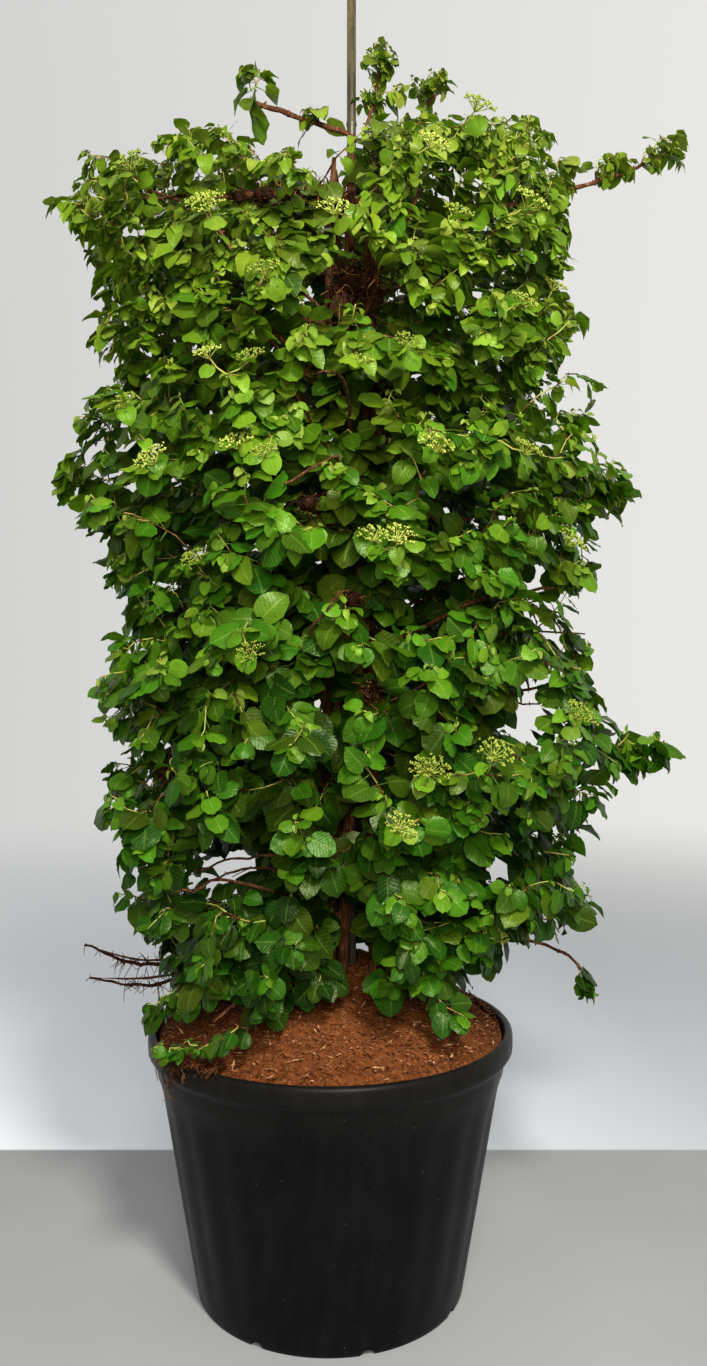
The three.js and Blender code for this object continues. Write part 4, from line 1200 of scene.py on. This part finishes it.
def carry_head(pile, leaves, place, ends):
    """A flower head at a place, on a stalk from the nearest twig's end."""
    end, way = min(ends, key=lambda item: np.linalg.norm(item[0] - place))
    place = end + (place - end) * min(1, HEAD_STALK / np.linalg.norm(place - end))
    middle = (end + place) / 2 + [0, 0, -0.004]
    pile.tube([end, middle, place], np.array([1.7, 1.4, 1.2]) * MM, 4, AS_GREEN)
    axis = outward(place) * 0.65 + [0, 0, 0.8] + rng.normal(0, 0.12, 3)
    flower_head(pile, place, axis, HEAD_RADIUS * rng.uniform(0.85, 1.25))
    leaf_pair(leaves, (end + place * 2) / 3, unit(place - end), rng.random() * 6, 30 * MM, 0.75)


def grow_twig(pile, leaves, foot, target, knots, ways, size, bright, shaded):
    """One twig, from the best place of those grown so far, bare and brown at first and leafy to its tip."""
    known = np.array(knots)
    gap = np.linalg.norm(known - target, axis=1)
    behind = np.linalg.norm(known - foot, axis=1)
    # A start nearer the foot costs less, and one that lies beyond the target costs much more
    cost = gap + 0.25 * behind + (behind > np.linalg.norm(target - foot) - 0.02)
    cost[0] = min(cost[0], gap[0])
    best = int(np.argmin(cost))
    start, first = known[best], unit(ways[best])
    length = max(gap[best], 0.01)
    last = unit(outward(target) * 0.75 + [0, 0, 0.22] + rng.normal(0, 0.34, 3))
    c1, c2 = start + first * length * 0.3, target - last * length * 0.36
    steps = int(np.clip(length / 0.03, 3, 7))
    t = np.linspace(0, 1, steps + 1)[:, None]
    path = (1 - t) ** 3 * start + 3 * (1 - t) ** 2 * t * c1 + 3 * (1 - t) * t ** 2 * c2 + t ** 3 * target
    path[1:-1] += rng.normal(0, 1.6 * MM, path[1:-1].shape)
    tangents = unit(np.gradient(path, axis=0))
    knots.extend(path[1:])
    ways.extend(tangents[1:])
    radii = np.linspace(1.0 + 6 * length, 0.9, steps + 1) * MM
    split = max(1, steps - max(1, round(GREEN_LENGTH / (length / steps))))
    sides = 3 if shaded else 4
    pile.tube(path[:split + 1], radii[:split + 1], sides, AS_BARK)
    pile.tube(path[split:], radii[split:], sides, AS_GREEN)
    dress_twig(leaves, path, tangents, size, bright, shaded)
    return tangents[-1]


def dress_twig(leaves, path, tangents, size, bright, shaded):
    """Leaf pairs from a twig's tip back, each turned from the last, larger and older."""
    height = path[-1][2]
    vigour = size * np.interp(height, *SIZE_UP) * rng.uniform(0.82, 1.18)
    # Lower leaves are less fresh and darker, partly for age and partly as painted shade, and leaves of shaded
    # twigs are darker still as painted shade
    freshness_and_shade = np.interp(height, *FRESHNESS_AND_SHADE_UP) + rng.normal(0, 0.11) - 0.2 * shaded + bright
    run = np.concatenate([[0], np.cumsum(np.linalg.norm(np.diff(path, axis=0), axis=1))])
    turn = rng.random() * math.pi
    reach = 1.5 * MM
    for pair, (leaf_length, age) in enumerate(zip(LEAF_LENGTHS, LEAF_AGES)):
        if reach > min(LEAFY_LENGTH, run[-1]):
            break
        if shaded and pair == 0:
            continue
        here = run[-1] - reach
        at, way = (np.array([np.interp(here, run, row[:, k]) for k in range(3)]) for row in (path, tangents))
        in_crown = rng.random() < np.interp(height, *CROWN_SHARE_UP)
        kind = SHADED if shaded else YOUNG if pair == 0 else CROWN if in_crown else GROWN
        length = leaf_length * vigour * (1.15 if shaded else 1.0)
        leaf_pair(leaves, at, unit(way), turn, length, age + freshness_and_shade, kind)
        turn += math.pi / 2 + rng.normal(0, 0.2)
        reach += PAIR_SPACING * (0.5 + 0.3 * pair) * rng.uniform(0.85, 1.2)


def make_foliage(soil_height):
    sprays = sorted(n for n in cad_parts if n.startswith("leafy_spray"))
    shoots = sorted(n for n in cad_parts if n.endswith("_shoot"))
    places = [(p, False) for p in [
        *scattered(SIDE_TWIGS, 0.0, 0.075), *scattered(UPPER_TWIGS, 0.0, 0.05, UPPER_TIERS),
        *scattered_on_top(TOP_TWIGS)]]
    for centre, count in LOW_CURTAINS:
        places += [(np.array(centre) + rng.normal(0, 0.024, 3), False) for _ in range(count)]
    places += [(p, True) for p in scattered(INNER_TWIGS, 0.07, 0.3)]
    for centre, count in DARK_HEARTS:
        places += [(np.array(centre) + rng.normal(0, 0.045, 3), True) for _ in range(count)]
    given = share_out(places, sprays, soil_height)
    centres = {n: solid_points(n).mean(axis=0) for n in sprays}
    heads = {n: [] for n in sprays}
    for x, z in FRONT_HEADS:
        nearness = {n: math.hypot(c[0] - x, c[2] - z) + (c[1] > -0.1) for n, c in centres.items()}
        front = -0.395 + 0.25 * abs(x - 0.02) ** 1.6
        heads[min(nearness, key=nearness.get)].append((x, front, z))
    for node in sprays:
        grow(node, given[node], 1.0, 0.0, heads[node])
    for node in shoots:
        targets = []
        for centre, reach, count in SHOOT_TIPS[node]:
            off = unit(rng.normal(0, 1, (count, 3))) * reach * rng.uniform(0.5, 1.0, (count, 1))
            targets += [(spot * MM, False) for spot in np.array(centre) + off]
        grow(node, targets, SHOOT_LEAF_SIZES.get(node, SHOOT_LEAF_SIZE), SHOOT_FRESHNESS)


# Studio: a pale floor, a pale surround, and soft light from the front

def pale_painted_concrete(add):
    """Painted concrete: grey and dull in front of the pot, paler behind it, palest to the left where painted
    light lifts the plant's shadow, and fading into the surround.
    """
    coords = add("TexCoord")["Object"]
    x, y, _ = add("SeparateXYZ", (coords,))
    behind = add("MapRange", (y, 0.515, 0.525))[0]
    mottle = add("TexNoise", {"Vector": coords, "Scale": 3.0, "Detail": 6.0})["Fac"]
    near = add("Mix", {0: mottle, 6: "#909191", 7: "#9b9c9c"}, data_type="RGBA")[2]
    # Painted light: behind the pot the floor is palest to the left, where the plant's shadow falls, and
    # greyer to the right
    right = add("MapRange", (x, -0.5, 0.9))[0]
    far = add("Mix", {0: right, 6: "#eff3f7", 7: "#bfc2c6"}, data_type="RGBA")[2]
    colour = add("Mix", {0: behind, 6: near, 7: far}, data_type="RGBA")[2]
    length = add("VectorMath", (coords,), operation="LENGTH")["Value"]
    fade = add("MapRange", (length, 1.6, 6.5), interpolation_type="SMOOTHSTEP")[0]
    skin = add("BsdfPrincipled", {"Base Color": colour, "Roughness": 0.7, "Specular IOR Level": 0.2})[0]
    return add("MixShader", (fade, skin, add("BsdfTransparent")[0]))[0]


def make_floor():
    bpy.ops.mesh.primitive_circle_add(vertices=96, radius=7.0, fill_type="NGON")
    floor = bpy.context.object
    floor.name = "studio_floor"
    floor.data.materials.append(finish(pale_painted_concrete))


def make_light(name, place, aim, size, watts, colour, mirrored=True):
    data = bpy.data.lights.new(name, "AREA")
    data.shape = "DISK"
    data.size = size
    data.energy = watts
    data.color = colour
    lamp = link(bpy.data.objects.new(name, data))
    lamp.location = place
    lamp.rotation_euler = (Vector(aim) - Vector(place)).to_track_quat("-Z", "Y").to_euler()
    lamp.visible_glossy = mirrored


def make_world():
    """A surround that is grey towards the front, and behind the pot pale, and paler to the right."""
    world = bpy.data.worlds.new("pale_surround")
    bpy.context.scene.world = world
    world.use_nodes = True
    world.node_tree.nodes.clear()
    add = partial(add_node, world.node_tree)
    x, y, _ = add("SeparateXYZ", (add("TexCoord")["Generated"],))
    behind = add("MapRange", (y, -0.1, 0.7), interpolation_type="SMOOTHSTEP")[0]
    right = add("MapRange", (x, -0.3, 0.3))[0]
    wall = add("Mix", {0: right, 6: "#d3d3d2", 7: "#e9e8e4"}, data_type="RGBA")[2]
    colour = add("Mix", {0: behind, 6: "#a0a1a3", 7: wall}, data_type="RGBA")[2]
    add("OutputWorld", {"Surface": add("Background", {"Color": colour, "Strength": 1.0})[0]})


def make_camera():
    data = bpy.data.cameras.new("photo_view")
    data.sensor_width = 36
    data.lens = data.sensor_width * FOCAL_PIXELS / IMAGE[1]
    data.shift_y = (AXIS_PIXEL_Y - IMAGE[1] / 2) / IMAGE[1]
    camera = link(bpy.data.objects.new("photo_view", data))
    camera.location = CAMERA_PLACE
    camera.rotation_euler = (math.pi / 2 + CAMERA_TILT, 0, 0)
    bpy.context.scene.camera = camera


make_camera()
make_world()
make_floor()
make_light("flash", (0.62, -2.5, 2.85), (0.0, 0.0, 1.3), 0.55, 158, (1.0, 0.98, 0.94))
make_light("front_fill", (0.05, -2.5, 1.6), (0.0, 0.0, 1.25), 0.9, 54, (1.0, 0.99, 0.96), mirrored=False)
bpy.context.scene.view_settings.view_transform = "Standard"

make_pot()
soil_height = soil_surface()
make_soil(soil_height)
make_cane()
for number in range(1, WOODY_STEMS + 1):
    make_stem(number)
make_root_mats()
make_bare_branches()
make_hanging_roots()
make_foliage(soil_height)
